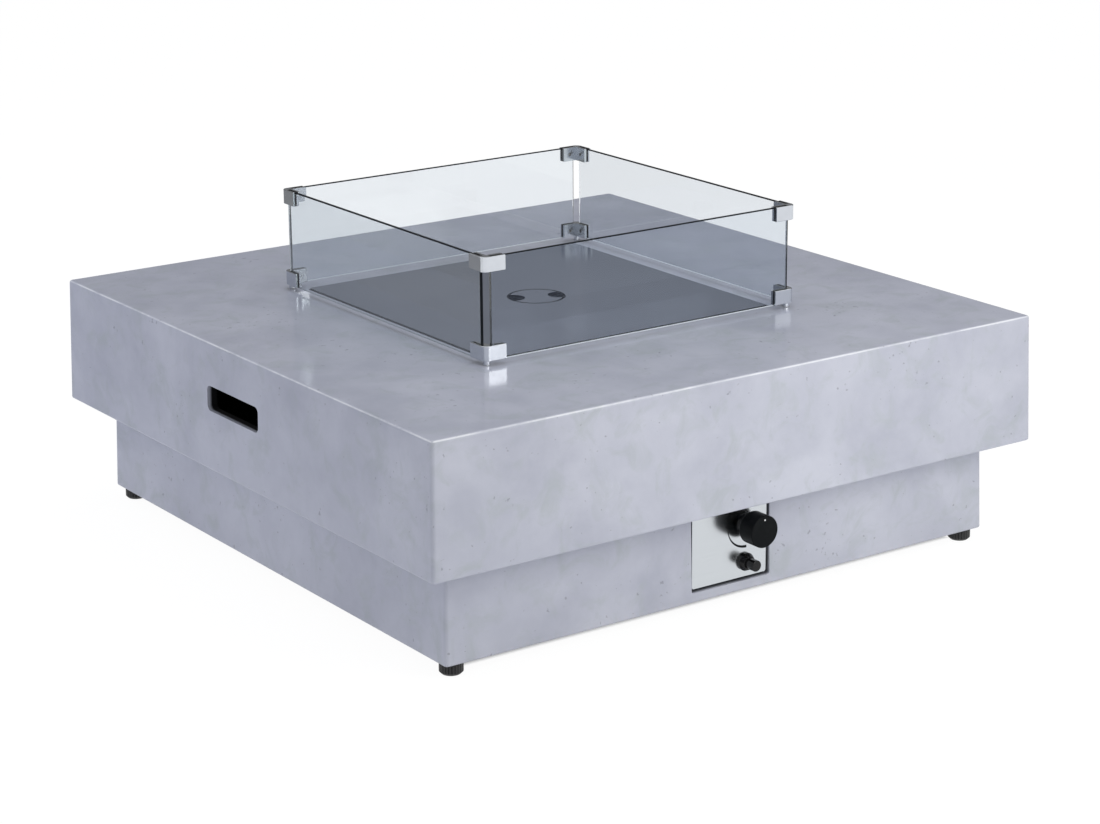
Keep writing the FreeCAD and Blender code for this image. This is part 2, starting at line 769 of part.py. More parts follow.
def bent_tube(label, points, radius):
    """A round tube along straight runs joined by tangent arcs, each as large as its runs allow."""
    pieces = []
    start = points[0]
    for before, corner, after in zip(points, points[1:], points[2:]):
        arriving = (corner - before).normalize()
        leaving = (after - corner).normalize()
        half_turn = arriving.getAngle(leaving) / 2
        shorter = min((corner - before).Length, (after - corner).Length)
        setback = 0.45 * shorter
        bend_radius = setback / math.tan(half_turn)
        print(f"{label}: bend radius {bend_radius:.0f} mm")
        arc_start = corner - arriving * setback
        arc_end = corner + leaving * setback
        towards = (leaving - arriving).normalize()
        middle = corner + towards * (bend_radius / math.cos(half_turn) - bend_radius)
        pieces.append(Part.LineSegment(start, arc_start).toShape())
        pieces.append(Part.Arc(arc_start, middle, arc_end).toShape())
        start = arc_end
    pieces.append(Part.LineSegment(start, points[-1]).toShape())
    path = Part.Wire(pieces)
    ring = Part.makeCircle(radius.value, points[0], points[1] - points[0])
    tube = path.makePipeShell([Part.Wire([ring])], True, False)
    expected = math.pi * radius.value ** 2 * path.Length
    if abs(tube.Volume - expected) > 0.01 * expected:
        raise ValueError(f"{label}: volume {tube.Volume:.0f} differs from {expected:.0f}")
    feature = doc.addObject("Part::Feature", label)
    feature.Shape = tube
    feature.Placement = FreeCAD.Placement()
    return keep(feature, label)


def sensor_bracket():
    """Bent steel bracket on the pan's floor that carries the electrode and the thermocouple."""
    body = new_body("sensor_bracket")
    half = S.bracket_width / 2
    front = sensor_line - S.bracket_depth / 2
    shelf = pan_floor + S.bracket_rise
    floor = new_sketch(body, "XY_Plane", pan_floor)
    pad(body, rectangle(floor, -half, half, front, front + S.bracket_depth),
        S.bracket_sheet)
    wall = new_sketch(body, "XY_Plane", pan_floor)
    pad(body, rectangle(wall, -half, half, front, front + S.bracket_sheet),
        S.bracket_rise)
    pad(body, rectangle(new_sketch(body, "XY_Plane", shelf), -half, half, front, front + S.bracket_depth),
        S.bracket_sheet)
    holes = new_sketch(body, "XY_Plane", shelf + S.bracket_sheet)
    circle(holes, -S.sensor_spacing / 2, sensor_line, S.electrode_radius + S.running_clearance)
    circle(holes, S.sensor_spacing / 2, sensor_line, S.thermocouple_radius + S.running_clearance)
    pocket(body, holes, S.bracket_rise + S.bracket_sheet)
    return keep(body, "sensor_bracket")


def electrode():
    """Ceramic rod with a wire tip that leans over the burner tube."""
    body = new_body("electrode")
    rod = new_sketch(body, "XY_Plane", pan_bottom - S.sensor_drop)
    height = S.sensor_drop + S.sensor_height
    pad(body, circle(rod, -S.sensor_spacing / 2, sensor_line, S.electrode_radius), height)
    tip = new_sketch(body, "XY_Plane", pan_bottom + S.sensor_height)
    pad(body, circle(tip, -S.sensor_spacing / 2, sensor_line, S.electrode_wire_radius), S.sensor_height / 2)
    return keep(body, "electrode")


def thermocouple():
    """Copper probe with a narrow hot end."""
    body = new_body("thermocouple")
    rod = new_sketch(body, "XY_Plane", pan_bottom - S.sensor_drop)
    height = S.sensor_drop + S.sensor_height
    pad(body, circle(rod, S.sensor_spacing / 2, sensor_line, S.thermocouple_radius), height)
    tip = new_sketch(body, "XY_Plane", pan_bottom + S.sensor_height)
    pad(body, circle(tip, S.sensor_spacing / 2, sensor_line, S.thermocouple_radius / 2), S.sensor_height / 2)
    return keep(body, "thermocouple")


def control_panel():
    """Steel plate with its edges folded back on to the ledge of its opening, and four studs behind it."""
    body = new_body("control_panel")
    half = S.panel_width / 2 - S.panel_gap
    low = panel_low + S.panel_gap
    high = panel_high - S.panel_gap
    outside = new_sketch(body, "XZ_Plane", panel_seat)
    block = pad(body, rectangle(outside, -half, half, low, high), S.panel_fold)
    corners = edges(block, lambda e: runs_along(e, Vector(0, 1, 0)))
    rounded = soften(body, "Fillet", corners, S.panel_corner_radius)
    rim = edges(rounded, lambda e: abs(e.BoundBox.YMax + panel_face.value) < 1e-4)
    soften(body, "Fillet", rim, S.panel_bend)
    inside = new_sketch(body, "XZ_Plane", panel_seat)
    rectangle(inside, -half + S.panel_sheet, half - S.panel_sheet, low + S.panel_sheet, high - S.panel_sheet)
    opened = pocket(body, inside, S.panel_fold - S.panel_sheet, True)
    inner = edges(opened, lambda e: runs_along(e, Vector(0, 1, 0))
                  and abs(e.Length - S.panel_fold.value + S.panel_sheet.value) < 1e-4)
    soften(body, "Fillet", inner, S.panel_corner_radius - S.panel_sheet)
    studs = new_sketch(body, "XZ_Plane", panel_back)
    for x in (-S.panel_stud_offset, S.panel_stud_offset):
        for z in (base_bottom + S.lower_bar_rise, base_bottom + S.upper_bar_rise):
            circle(studs, x, z, S.panel_stud_radius)
    pad(body, studs, S.panel_stud_length, True)
    holes = new_sketch(body, "XZ_Plane", panel_face)
    circle(holes, S.control_offset, knob_level, S.valve_boss_radius + S.running_clearance)
    circle(holes, S.control_offset, igniter_level, S.igniter_radius + S.running_clearance)
    pocket(body, holes, S.panel_sheet)
    return keep(body, "control_panel")


def panel_clamps():
    """Two bars that pull the panel's studs against the inner wall, and their nuts."""
    bars = []
    nuts = []
    reach_out = S.panel_width / 2 + S.bar_overhang
    for name, rise in (("lower", S.lower_bar_rise), ("upper", S.upper_bar_rise)):
        level = base_bottom + rise
        bar = new_body(f"{name}_bar")
        strip = new_sketch(bar, "XZ_Plane", base_hollow)
        pad(bar, rectangle(strip, -reach_out, reach_out, level - S.bar_width / 2, level + S.bar_width / 2),
            S.bar_thickness, True)
        holes = new_sketch(bar, "XZ_Plane", base_hollow)
        for x in (-S.panel_stud_offset, S.panel_stud_offset):
            circle(holes, x, level, S.panel_stud_radius + S.screw_clearance)
        pocket(bar, holes, S.bar_thickness)
        bars.append(bar)
        for side, x in (("left", -S.panel_stud_offset), ("right", S.panel_stud_offset)):
            nut = new_body(f"{name}_{side}_nut")
            face = base_hollow - S.bar_thickness
            pad(nut, hexagon(new_sketch(nut, "XZ_Plane", face), x, level, S.panel_nut_width),
                S.panel_nut_height, True)
            bore = new_sketch(nut, "XZ_Plane", face)
            pocket(nut, circle(bore, x, level, S.panel_stud_radius + S.screw_clearance), S.panel_nut_height)
            nuts.append(nut)
    group("panel_clamp_bars", bars)
    group("panel_nuts", nuts)


def on_panel(body, level):
    """Places a body drawn about the panel's face, +Y inwards, at a control's height."""
    return move(body, S.control_offset, -panel_face, level)


def control_knob():
    """Round knob with a rounded front edge, a neck behind it and a socket for the spindle."""
    body = new_body("control_knob")
    back = -S.knob_gap
    front = back - S.knob_length
    profile = new_sketch(body, "XY_Plane")
    outline(profile, [(0, front), (S.knob_radius, front), (S.knob_radius, back), (S.knob_neck_radius, back),
                      (S.knob_neck_radius, back + S.knob_neck_length), (0, back + S.knob_neck_length)])
    shape = revolve(body, profile)
    rims = edges(shape, lambda e: abs(e.BoundBox.XLength - S.knob_radius.value * 2) < 1e-3
                 and abs(e.BoundBox.YLength) < 1e-4)
    soften(body, "Fillet", rims, S.knob_edge)
    socket = new_sketch(body, "XZ_Plane", -(back + S.knob_neck_length))
    flat = S.spindle_radius - S.spindle_flat
    circle(socket, 0, 0, S.spindle_radius)
    pocket(body, socket, S.knob_socket_depth, True)
    key = new_sketch(body, "XZ_Plane", -(back + S.knob_neck_length))
    rectangle(key, -S.spindle_radius, S.spindle_radius, flat, S.spindle_radius + S.spindle_flat)
    pad(body, key, S.knob_socket_depth)
    return keep(on_panel(body, knob_level), "control_knob")


def valve_spindle():
    """Round spindle with a flat where the knob grips it."""
    body = new_body("valve_spindle")
    outer = -S.knob_gap + S.knob_neck_length - S.knob_socket_depth
    rod = new_sketch(body, "XZ_Plane", -outer)
    pad(body, circle(rod, 0, 0, S.spindle_radius), S.spindle_reach - outer, True)
    flat = new_sketch(body, "XZ_Plane", -outer)
    keyed = S.spindle_radius - S.spindle_flat
    rectangle(flat, -S.spindle_radius, S.spindle_radius, keyed, S.spindle_radius * 2)
    pocket(body, flat, S.knob_socket_depth)
    return keep(on_panel(body, knob_level), "valve_spindle")


def valve_body():
    """Cast gas valve: a block behind the panel with a threaded boss, a gas outlet and an inlet port."""
    body = new_body("valve_body")
    half = S.valve_width / 2
    block = pad(body, rectangle(new_sketch(body, "XZ_Plane", -S.panel_sheet), -half, half, -half, half),
                S.valve_length, True)
    soften(body, "Fillet", edges(block, lambda e: runs_along(e, Vector(0, 1, 0))), S.corner_radius)
    pad(body, circle(new_sketch(body, "XZ_Plane", -S.panel_sheet), 0, 0, S.valve_boss_radius),
        S.panel_sheet + S.bezel_thickness)
    rear = S.panel_sheet + S.valve_length
    inlet = new_sketch(body, "XZ_Plane", -rear)
    pad(body, circle(inlet, 0, 0, S.valve_port_radius), S.valve_port_length, True)
    port = new_sketch(body, "YZ_Plane", -half)
    pad(body, circle(port, rear - S.valve_length / 2, 0, S.valve_port_radius), S.valve_port_length, True)
    bore = new_sketch(body, "XZ_Plane", S.bezel_thickness)
    reach_in = S.bezel_thickness + S.spindle_reach
    pocket(body, circle(bore, 0, 0, S.spindle_radius + S.running_clearance), reach_in)
    chamber = new_sketch(body, "XZ_Plane", -S.spindle_reach)
    pocket(body, circle(chamber, 0, 0, S.plunger_radius + S.running_clearance),
           S.plunger_length + S.plunger_gap + S.knob_press + S.plunger_room)
    return keep(on_panel(body, knob_level), "valve_body")


def valve_plunger():
    """Plunger that the spindle pushes inwards to open the safety valve."""
    body = new_body("valve_plunger")
    start = S.spindle_reach + S.plunger_gap
    pad(body, circle(new_sketch(body, "XZ_Plane", -start), 0, 0, S.plunger_radius), S.plunger_length, True)
    return keep(on_panel(body, knob_level), "valve_plunger")


def valve_bezel():
    """Round nut on the valve's boss that clamps the panel."""
    body = new_body("valve_bezel")
    disc = pad(body, circle(new_sketch(body, "XZ_Plane"), 0, 0, S.bezel_radius), S.bezel_thickness)
    front = edges(disc, lambda e: e.CenterOfMass.y < -S.bezel_thickness.value / 2
                  and abs(e.BoundBox.YLength) < 1e-4)
    soften(body, "Fillet", front, S.knob_edge)
    bore = new_sketch(body, "XZ_Plane")
    pocket(body, circle(bore, 0, 0, S.valve_boss_radius + S.running_clearance), S.bezel_thickness, True)
    return keep(on_panel(body, knob_level), "valve_bezel")


def inlet_elbow():
    """Brass elbow behind the valve; its threaded end points down and to the left, for the gas hose."""
    body = new_body("inlet_elbow")
    half = S.inlet_elbow_width / 2
    block = pad(body, rectangle(new_sketch(body, "XY_Plane", -half), -half, half, ZERO, S.inlet_elbow_width),
                S.inlet_elbow_width)
    heel = edges(block, lambda e: runs_along(e, Vector(1, 0, 0)) and e.CenterOfMass.y > half.value
                 and e.CenterOfMass.z > 0)
    soften(body, "Chamfer", heel, S.inlet_elbow_width / 3)
    spigot = new_sketch(body, "XY_Plane", -half)
    pad(body, circle(spigot, 0, half, S.inlet_radius), S.inlet_length, True)
    bore = new_sketch(body, "XY_Plane", -half - S.inlet_length)
    pocket(body, circle(bore, 0, half, S.inlet_bore_radius), S.inlet_length + half, True)
    turned(body, Vector(0, 1, 0), INLET_TILT)
    rear = S.panel_sheet + S.valve_length + S.valve_port_length
    return keep(move(body, S.control_offset, rear - panel_face, knob_level), "inlet_elbow")


def igniter():
    """Push-button igniter: threaded barrel with a bezel, locknut, battery and sprung cap."""
    body = new_body("igniter_body")
    profile = new_sketch(body, "XY_Plane")
    floor = S.igniter_bore_depth - S.igniter_bezel_height
    outline(profile, [(S.igniter_bore_radius, -S.igniter_bezel_height),
                      (S.igniter_collar_radius, -S.igniter_bezel_height),
                      (S.igniter_bezel_radius, -S.igniter_bezel_rim), (S.igniter_bezel_radius, 0),
                      (S.igniter_radius, 0), (S.igniter_radius, S.igniter_length),
                      (0, S.igniter_length), (0, floor), (S.igniter_bore_radius, floor)])
    shape = revolve(body, profile)
    front = edges(shape, lambda e: abs(e.BoundBox.XLength - S.igniter_collar_radius.value * 2) < 1e-3
                  and e.CenterOfMass.y < -S.igniter_bezel_height.value + 1e-3)
    soften(body, "Fillet", front, S.igniter_cap_edge / 2)
    keep(on_panel(body, igniter_level), "igniter_body")

    nut = new_body("igniter_locknut")
    pad(nut, hexagon(new_sketch(nut, "XZ_Plane", -S.panel_sheet), ZERO, ZERO, S.igniter_locknut_width),
        S.igniter_locknut_height, True)
    bore = new_sketch(nut, "XZ_Plane", -S.panel_sheet)
    pocket(nut, circle(bore, 0, 0, S.igniter_radius + S.running_clearance), S.igniter_locknut_height)
    keep(on_panel(nut, igniter_level), "igniter_locknut")

    cell = new_body("igniter_battery")
    rear = S.igniter_bore_depth - S.igniter_bezel_height
    pad(cell, circle(new_sketch(cell, "XZ_Plane", -rear), 0, 0, S.battery_radius), S.battery_length)
    keep(on_panel(cell, igniter_level), "igniter_battery")

    cap = new_body("igniter_cap")
    seat = -S.igniter_bezel_height - S.igniter_press - S.foot_gap
    front = seat - (S.igniter_cap_height - S.igniter_press)
    profile = new_sketch(cap, "XY_Plane")
    plunger = S.igniter_bore_radius - S.running_clearance
    outline(profile, [(0, front), (S.igniter_cap_radius, front), (S.igniter_cap_radius, seat),
                      (plunger, seat), (plunger, seat + S.igniter_plunger_depth),
                      (0, seat + S.igniter_plunger_depth)])
    shape = revolve(cap, profile)
    rim = edges(shape, lambda e: abs(e.BoundBox.XLength - S.igniter_cap_radius.value * 2) < 1e-3
                and e.CenterOfMass.y < front.value + 1e-3)
    soften(cap, "Fillet", rim, S.igniter_cap_edge)
    keep(on_panel(cap, igniter_level), "igniter_cap")


def sweep(start, leaving, finish, arriving, spread):
    """Points along a smooth curve that leaves and arrives straight, in the given directions."""
    first, last = (Vector(*(as_size(c).value for c in point)) for point in (start, finish))
    out, into = Vector(*leaving), Vector(*arriving)
    straight = S.straight_end.value
    near, far = first + out * straight, last - into * straight
    pulls = [near, near + out * spread.value, far - into * spread.value, far]
    points = [first]
    for step in range(TUBE_RUN_COUNT + 1):
        t = step / TUBE_RUN_COUNT
        weights = ((1 - t) ** 3, 3 * t * (1 - t) ** 2, 3 * t * t * (1 - t), t ** 3)
        points.append(sum((pull * weight for pull, weight in zip(pulls, weights)), Vector(0, 0, 0)))
    return points + [last]


def gas_and_leads():
    """Feed tube from the valve to the jet, the spark lead and the thermocouple's capillary."""
    x = S.control_offset
    outlet = x - S.valve_width / 2 - S.valve_port_length
    middle = S.panel_sheet + S.valve_length / 2 - panel_face
    jet = (ZERO, ZERO, mixer_bottom - S.orifice_hex_height)
    feed = sweep((outlet, middle, knob_level), (-1, 0, 0), jet, (0, 0, 1), S.feed_sweep)
    bent_tube("feed_tube", feed, S.feed_tube_radius)
    probe = pan_bottom - S.sensor_drop
    spark = sweep((x, S.igniter_length - panel_face, igniter_level), (0, 1, 0),
                  (-S.sensor_spacing / 2, sensor_line, probe), (0, 0, 1), S.lead_sweep)
    bent_tube("electrode_lead", spark, S.lead_radius)
    side = x + S.valve_width / 2
    capillary = sweep((side, middle, knob_level), (1, 0, 0),
                      (S.sensor_spacing / 2, sensor_line, probe), (0, 0, 1), S.lead_sweep)
    bent_tube("thermocouple_lead", capillary, S.capillary_radius)


def lid():
    """Folded lid, the grip disc with two finger cut-outs, and the cup that carries it on a post."""
    body = new_body("lid_plate")
    half = S.lid_side / 2
    tray = pad(body, square(new_sketch(body, "XY_Plane", lid_bottom), half), lid_top - lid_bottom)
    rounded = soften(body, "Fillet", edges(tray, is_upright), S.lid_corner_radius)
    soften(body, "Fillet", edges(rounded, lambda e: is_level(e, lid_top)), S.lid_bend_radius)
    under = new_sketch(body, "XY_Plane", lid_bottom)
    hollow = pocket(body, square(under, half - S.lid_sheet), lid_top - lid_bottom - S.lid_sheet, True)
    inner = edges(hollow, lambda e: is_upright(e) and abs(reach(e) - half.value + S.lid_sheet.value) < 1e-3)
    soften(body, "Fillet", inner, S.lid_corner_radius - S.lid_sheet)
    hole = new_sketch(body, "XY_Plane", lid_top)
    opened = pocket(body, circle(hole, 0, 0, S.grip_hole_radius), S.lid_sheet)
    lip = edges(opened, lambda e: is_level(e, lid_top) and reach(e) < S.grip_hole_radius.value)
    soften(body, "Fillet", lip, S.grip_disc_edge)
    keep(body, "lid_plate")

    disc = new_body("lid_grip_disc")
    underside = lid_top - S.grip_disc_thickness
    plate = pad(disc, circle(new_sketch(disc, "XY_Plane", underside), 0, 0, S.grip_disc_radius),
                S.grip_disc_thickness)
    soften(disc, "Fillet", edges(plate, lambda e: is_level(e, lid_top)), S.grip_disc_edge)
    bites = new_sketch(disc, "XY_Plane", lid_top)
    centre = (S.grip_bridge + S.finger_width) / 2
    for x in (-centre, centre):
        circle(bites, x, 0, S.finger_width / 2)
    pocket(disc, bites, S.grip_disc_thickness)
    post = new_sketch(disc, "XY_Plane", underside)
    cup_floor = lid_top - S.lid_sheet - S.grip_cup_depth + S.grip_cup_sheet
    pad(disc, circle(post, 0, 0, S.grip_post_radius), underside - cup_floor, True)
    turned(disc, Vector(0, 0, 1), GRIP_TURN)
    keep(disc, "lid_grip_disc")

    cup = new_body("lid_grip_cup")
    rim = lid_top - S.lid_sheet
    sheet_under = rim - S.grip_cup_sheet
    outer = S.grip_hole_radius + S.grip_cup_sheet
    floor = rim - S.grip_cup_depth
    profile = new_sketch(cup, "XZ_Plane")
    outline(profile, [(S.grip_hole_radius, rim), (outer + S.grip_cup_flange, rim),
                      (outer + S.grip_cup_flange, sheet_under), (outer, sheet_under), (outer, floor),
                      (0, floor), (0, floor + S.grip_cup_sheet),
                      (S.grip_hole_radius, floor + S.grip_cup_sheet)])
    revolve(cup, profile)
    keep(cup, "lid_grip_cup")


def glass_panels():
    """Four polished glass panes, drawn for the front and the left and mirrored to the others."""
    for name, across, normal, label in (("front", True, Vector(0, 1, 0), "back"),
                                        ("left", False, Vector(1, 0, 0), "right")):
        body = new_body(f"glass_{name}")
        sketch = new_sketch(body, "XY_Plane", glass_bottom)
        if across:
            rectangle(sketch, -glass_half, glass_half, -glass_outer, -glass_inner)
        else:
            rectangle(sketch, -glass_outer, -glass_inner, -glass_half, glass_half)
        pane = pad(body, sketch, S.glass_height)
        soften(body, "Chamfer", edges(pane, lambda e: True), S.glass_edge)
        keep(body, f"glass_{name}")
        keep(mirrored(body, f"glass_{label}", normal), f"glass_{label}")


def corner_clip(kind, bottom):
    """Front left clip: a round corner with a glass slot and a set screw hole in each leg."""
    body = new_body(f"{kind}_clip")
    sketch = new_sketch(body, "XY_Plane", bottom)
    outline(sketch, [(-guard_half, -guard_half), (-clip_end, -guard_half), (-clip_end, -clip_inner),
                     (-clip_inner, -clip_inner), (-clip_inner, -clip_end), (-guard_half, -clip_end)])
    block = pad(body, sketch, S.clip_height)
    corner = edges(block, lambda e: is_upright(e) and min(abs(e.CenterOfMass.x), abs(e.CenterOfMass.y))
                   > clip_inner.value + S.clip_edge.value)
    rounded = soften(body, "Fillet", corner, S.clip_round)
    outside = guard_half.value - S.clip_round.value
    rims = edges(rounded, lambda e: (is_level(e, bottom) or is_level(e, bottom + S.clip_height))
                 and reach(e) > outside)
    soften(body, "Chamfer", rims, S.clip_edge)
    slots = new_sketch(body, "XY_Plane", bottom)
    end = -glass_half - S.gasket_thickness
    rectangle(slots, end, -clip_end + S.clip_edge, -slot_outer, -slot_inner)
    pocket(body, slots, S.clip_height, True)
    slots = new_sketch(body, "XY_Plane", bottom)
    rectangle(slots, -slot_outer, -slot_inner, end, -clip_end + S.clip_edge)
    pocket(body, slots, S.clip_height, True)
    middle = bottom + S.clip_height / 2
    hole = S.set_screw_radius + S.screw_clearance
    pocket(body, circle(new_sketch(body, "XZ_Plane", slot_inner), -set_screw_place, middle, hole),
           S.clip_thickness, False)
    pocket(body, circle(new_sketch(body, "YZ_Plane", -slot_inner), -set_screw_place, middle, hole),
           S.clip_thickness, True)
    return body


def clip_gasket(kind, bottom, across):
    """Rubber channel round the end of a pane, inside one slot of a front left clip."""
    body = new_body(f"{kind}_gasket_{'front' if across else 'left'}")
    end = -glass_half - S.gasket_thickness
    corners = [(-clip_end, -slot_outer), (-clip_end, -glass_outer), (-glass_half, -glass_outer),
               (-glass_half, -glass_inner), (-clip_end, -glass_inner), (-clip_end, -slot_inner),
               (end, -slot_inner), (end, -slot_outer)]
    if not across:
        corners = [(y, x) for x, y in corners]
    pad(body, outline(new_sketch(body, "XY_Plane", bottom), corners), S.clip_height)
    return body


def set_screw(kind, bottom, across):
    """Socket set screw that presses the gasket on the glass, in a front left clip."""
    body = new_body(f"{kind}_screw_{'front' if across else 'left'}")
    length = slot_inner - clip_inner
    middle = bottom + S.clip_height / 2
    role = "XZ_Plane" if across else "YZ_Plane"
    sign = 1.0 if across else -1.0
    rod = new_sketch(body, role, slot_inner * sign)
    pad(body, circle(rod, -set_screw_place, middle, S.set_screw_radius), length, across)
    socket = new_sketch(body, role, clip_inner * sign)
    hexagon(socket, -set_screw_place, middle, S.set_screw_socket)
    pocket(body, socket, S.set_screw_socket_depth, across)
    return body


def clips():
    """Clips, gaskets and set screws at the four corners, above and below."""
    names = ("front_left", "front_right", "back_left", "back_right")
    for kind, bottom in (("lower", lower_clip_bottom), ("upper", upper_clip_bottom)):
        clip = corner_clip(kind, bottom)
        for corner, obj in zip(names, at_four_corners(clip, f"{kind}_clip")):
            keep(obj, f"{kind}_clip_{corner}")
        for word, make in (("gaskets", clip_gasket), ("set_screws", set_screw)):
            pair = doc.addObject("Part::Compound", f"{kind}_{word}_pair")
            pair.Links = [make(kind, bottom, True), make(kind, bottom, False)]
            group(f"{kind}_{word}", at_four_corners(pair, f"{kind}_{word}"))


def guard_feet():
    """Short round posts under the lower clips and the soft pads that rest on the table top."""
    pad_piece = primitive("Cylinder", "post_pad", Radius=S.post_pad_radius, Height=S.post_pad_height)
    move(pad_piece, -post_place, -post_place, slab_top)
    post = primitive("Cylinder", "post", Radius=S.post_radius,
                     Height=lower_clip_bottom - slab_top - S.post_pad_height)
    move(post, -post_place, -post_place, slab_top + S.post_pad_height)
    group("guard_posts", at_four_corners(post, "post"))
    group("post_pads", at_four_corners(pad_piece, "post_pad"))


def check_and_write():
    """Stops on any failed object or shape, then writes each sub-part to its own file."""
    doc.recompute()
    for obj in doc.Objects:
        if "Invalid" in obj.State or "Error" in obj.State:
            raise RuntimeError(f"{obj.Name} failed")
    for node in nodes:
        if node.Shape.isNull() or not node.Shape.isValid():
            raise RuntimeError(f"{node.Label} has no valid shape")
    os.makedirs("parts", exist_ok=True)
    for node in nodes:
        node.Shape.exportStep(f"parts/{node.Label}.step")
    print(f"{len(nodes)} sub-parts written")


upper_casing()
base_casing()
joining_straps()
foot_inserts()
for depth_word, depth_sign in (("front", -1.0), ("back", 1.0)):
    for side_word, side_sign in (("left", -1.0), ("right", 1.0)):
        levelling_foot(f"foot_{depth_word}_{side_word}", foot_place * side_sign, foot_place * depth_sign)
burner_pan()
burner()
burner_nut()
air_mixer()
orifice_fitting()
sensor_bracket()
electrode()
thermocouple()
control_panel()
panel_clamps()
control_knob()
valve_spindle()
valve_body()
valve_plunger()
valve_bezel()
inlet_elbow()
igniter()
gas_and_leads()
lid()
glass_panels()
clips()
guard_feet()
check_and_write()
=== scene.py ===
import json
import math

import bpy
from mathutils import Matrix, Vector


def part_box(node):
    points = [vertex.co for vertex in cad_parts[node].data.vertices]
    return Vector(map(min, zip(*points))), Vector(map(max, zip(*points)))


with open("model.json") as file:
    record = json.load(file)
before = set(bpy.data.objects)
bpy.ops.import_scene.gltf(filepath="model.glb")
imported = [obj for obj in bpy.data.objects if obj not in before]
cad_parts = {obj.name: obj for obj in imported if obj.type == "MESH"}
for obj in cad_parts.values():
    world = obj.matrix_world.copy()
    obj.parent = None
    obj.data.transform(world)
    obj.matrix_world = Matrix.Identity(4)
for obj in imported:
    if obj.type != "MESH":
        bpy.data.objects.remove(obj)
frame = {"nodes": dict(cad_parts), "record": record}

# Camera, solved from the edges of the table in the photograph
CAMERA_PLACE = Vector((-2.39156, -3.46908, 1.44726))
CAMERA_YAW = math.radians(34.8661)
CAMERA_PITCH = math.radians(16.8445)
CAMERA_ROLL = math.radians(-0.4458)
CAMERA_LENS = 92.775
CAMERA_SENSOR = 36.0

# Light: the surroundings, each lamp's place, aim, size, watts and tint, and the floor, which is white
# outside the table and dark inside its open base
SURROUND_COLOUR = (0.95, 0.97, 1.0, 1.0)
SURROUND_STRENGTH = 0.52
LAMPS = {
    "key": {"place": (0.28, -1.6, 0.95), "aim": (0.21, -0.5, 0.2), "size": 1.0, "watts": 9.6,
            "tint": (1.0, 0.99, 0.96)},
    "side": {"place": (-3.0, 2.0, 1.1), "aim": (-0.5, 0.25, 0.2), "size": 1.8, "watts": 18.5,
             "tint": (0.93, 0.97, 1.18)},
    "top": {"place": (0.3, 0.4, 3.6), "aim": (0.0, 0.0, 0.3), "size": 2.4, "watts": 23.5,
            "tint": (0.95, 0.98, 1.2)},
}
FLOOR_HALF = 30.0
FLOOR_WHITE = 0.92
FLOOR_DARK = (0.44, 0.455)
FLOOR_GLOW = 1.04
FLOOR_PAINT = (0.98, 0.98, 0.98, 1.0)

# Grey wall round the back of the studio and grey mat at its left, from turn to turn in degrees, which
# only reflections see
WALL_RADIUS = 3.0
WALL_FOOT = 0.002
WALL_HEIGHT = 2.6
WALL_FROM = -110.0
WALL_TO = 100.0
WALL_STEPS = 42
WALL_GREY = 0.2
MAT_GREY = 0.3
MAT_INNER = 0.95
MAT_FROM = -70.0
MAT_TO = 0.0
MAT_STEPS = 14

# Places on the control panel
PANEL_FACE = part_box("valve_bezel")[1][1]
PANEL_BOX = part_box("control_panel")
PANEL_X = (PANEL_BOX[0][0] + PANEL_BOX[1][0]) / 2
PANEL_Z = (PANEL_BOX[0][2] + PANEL_BOX[1][2]) / 2
PANEL_MARGIN = 0.004
PANEL_REACH_X = (PANEL_BOX[1][0] - PANEL_BOX[0][0]) / 2 + PANEL_MARGIN
PANEL_REACH_Z = (PANEL_BOX[1][2] - PANEL_BOX[0][2]) / 2 + PANEL_MARGIN
KNOB_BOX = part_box("control_knob")
KNOB_X = (KNOB_BOX[0][0] + KNOB_BOX[1][0]) / 2
KNOB_Z = (KNOB_BOX[0][2] + KNOB_BOX[1][2]) / 2
KNOB_RADIUS = (KNOB_BOX[1][0] - KNOB_BOX[0][0]) / 2
DOT_HEIGHT = 0.74 * KNOB_RADIUS
DOT_RADIUS = 0.0014
ARC_INNER = 0.0318
ARC_THIN = 0.0010
ARC_THICK = 0.0042
ARC_START = math.radians(188.0)
ARC_END = math.radians(274.0)

# Concrete: how much sealer shows on its sides and top, its colours, and how much of each layer shows
COAT_SIDES = 0.2
COAT_TOP = 0.85
CONCRETE_DARK = (0.43, 0.444, 0.519)
CONCRETE_PALE = (0.555, 0.57, 0.642)
CONCRETE_LIGHT = (0.60, 0.61, 0.68)
CONCRETE_STREAK = (0.43, 0.445, 0.52)
CONCRETE_GRAIN = (0.38, 0.39, 0.45)
CONCRETE_PIT = (0.22, 0.22, 0.26)
CONCRETE_STAIN = (0.40, 0.435, 0.45)
# Painted highlight along the slab's top arris
CONCRETE_ARRIS_HIGHLIGHT = (0.86, 0.87, 0.89)
# Painted shade: near-black inside the casings and dark on the sides of the control opening
CONCRETE_INSIDE_SHADE = (0.003, 0.003, 0.004)
PATCH_SHARE = 0.46
STREAK_SHARE = 0.3
GRAIN_SHARE = 0.10
STAIN_SHARE = 0.52
PIT_SHARE = 0.5
PIT_CLUSTERING = 0.07
PIT_RANGE = (0.725, 0.76)

# The slab's painted highlight along its top arris, which fades in between these depths below its side and its
# top
ARRIS_HIGHLIGHT_WIDTH = (0.0026, 0.0012)
CASING_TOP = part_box("upper_casing")[1][2]

# Insides of the casings, unsealed and painted near-black as shade: the slope of the cast sides, the reach of
# each side at the floor, the depths below a side between which the painted shade begins, and the heights that
# bound the two hollows
DRAFT = -0.026
CASING_FOOT = 0.53914
CASING_SKIN = (0.0035, 0.0075)
BASE_FOOT = 0.48747
BASE_SKIN = (0.008, 0.011)
BASE_BOTTOM = 0.025
HOLLOW_TOP = (0.334, 0.330)
HOLLOW_BOTTOM = 0.17

# Sides of the control opening, painted dark as shade, from the panel's face to this depth in the base
REBATE_SHADE = 0.72
REBATE_EDGE = 0.0005
REBATE_BACK = -0.44
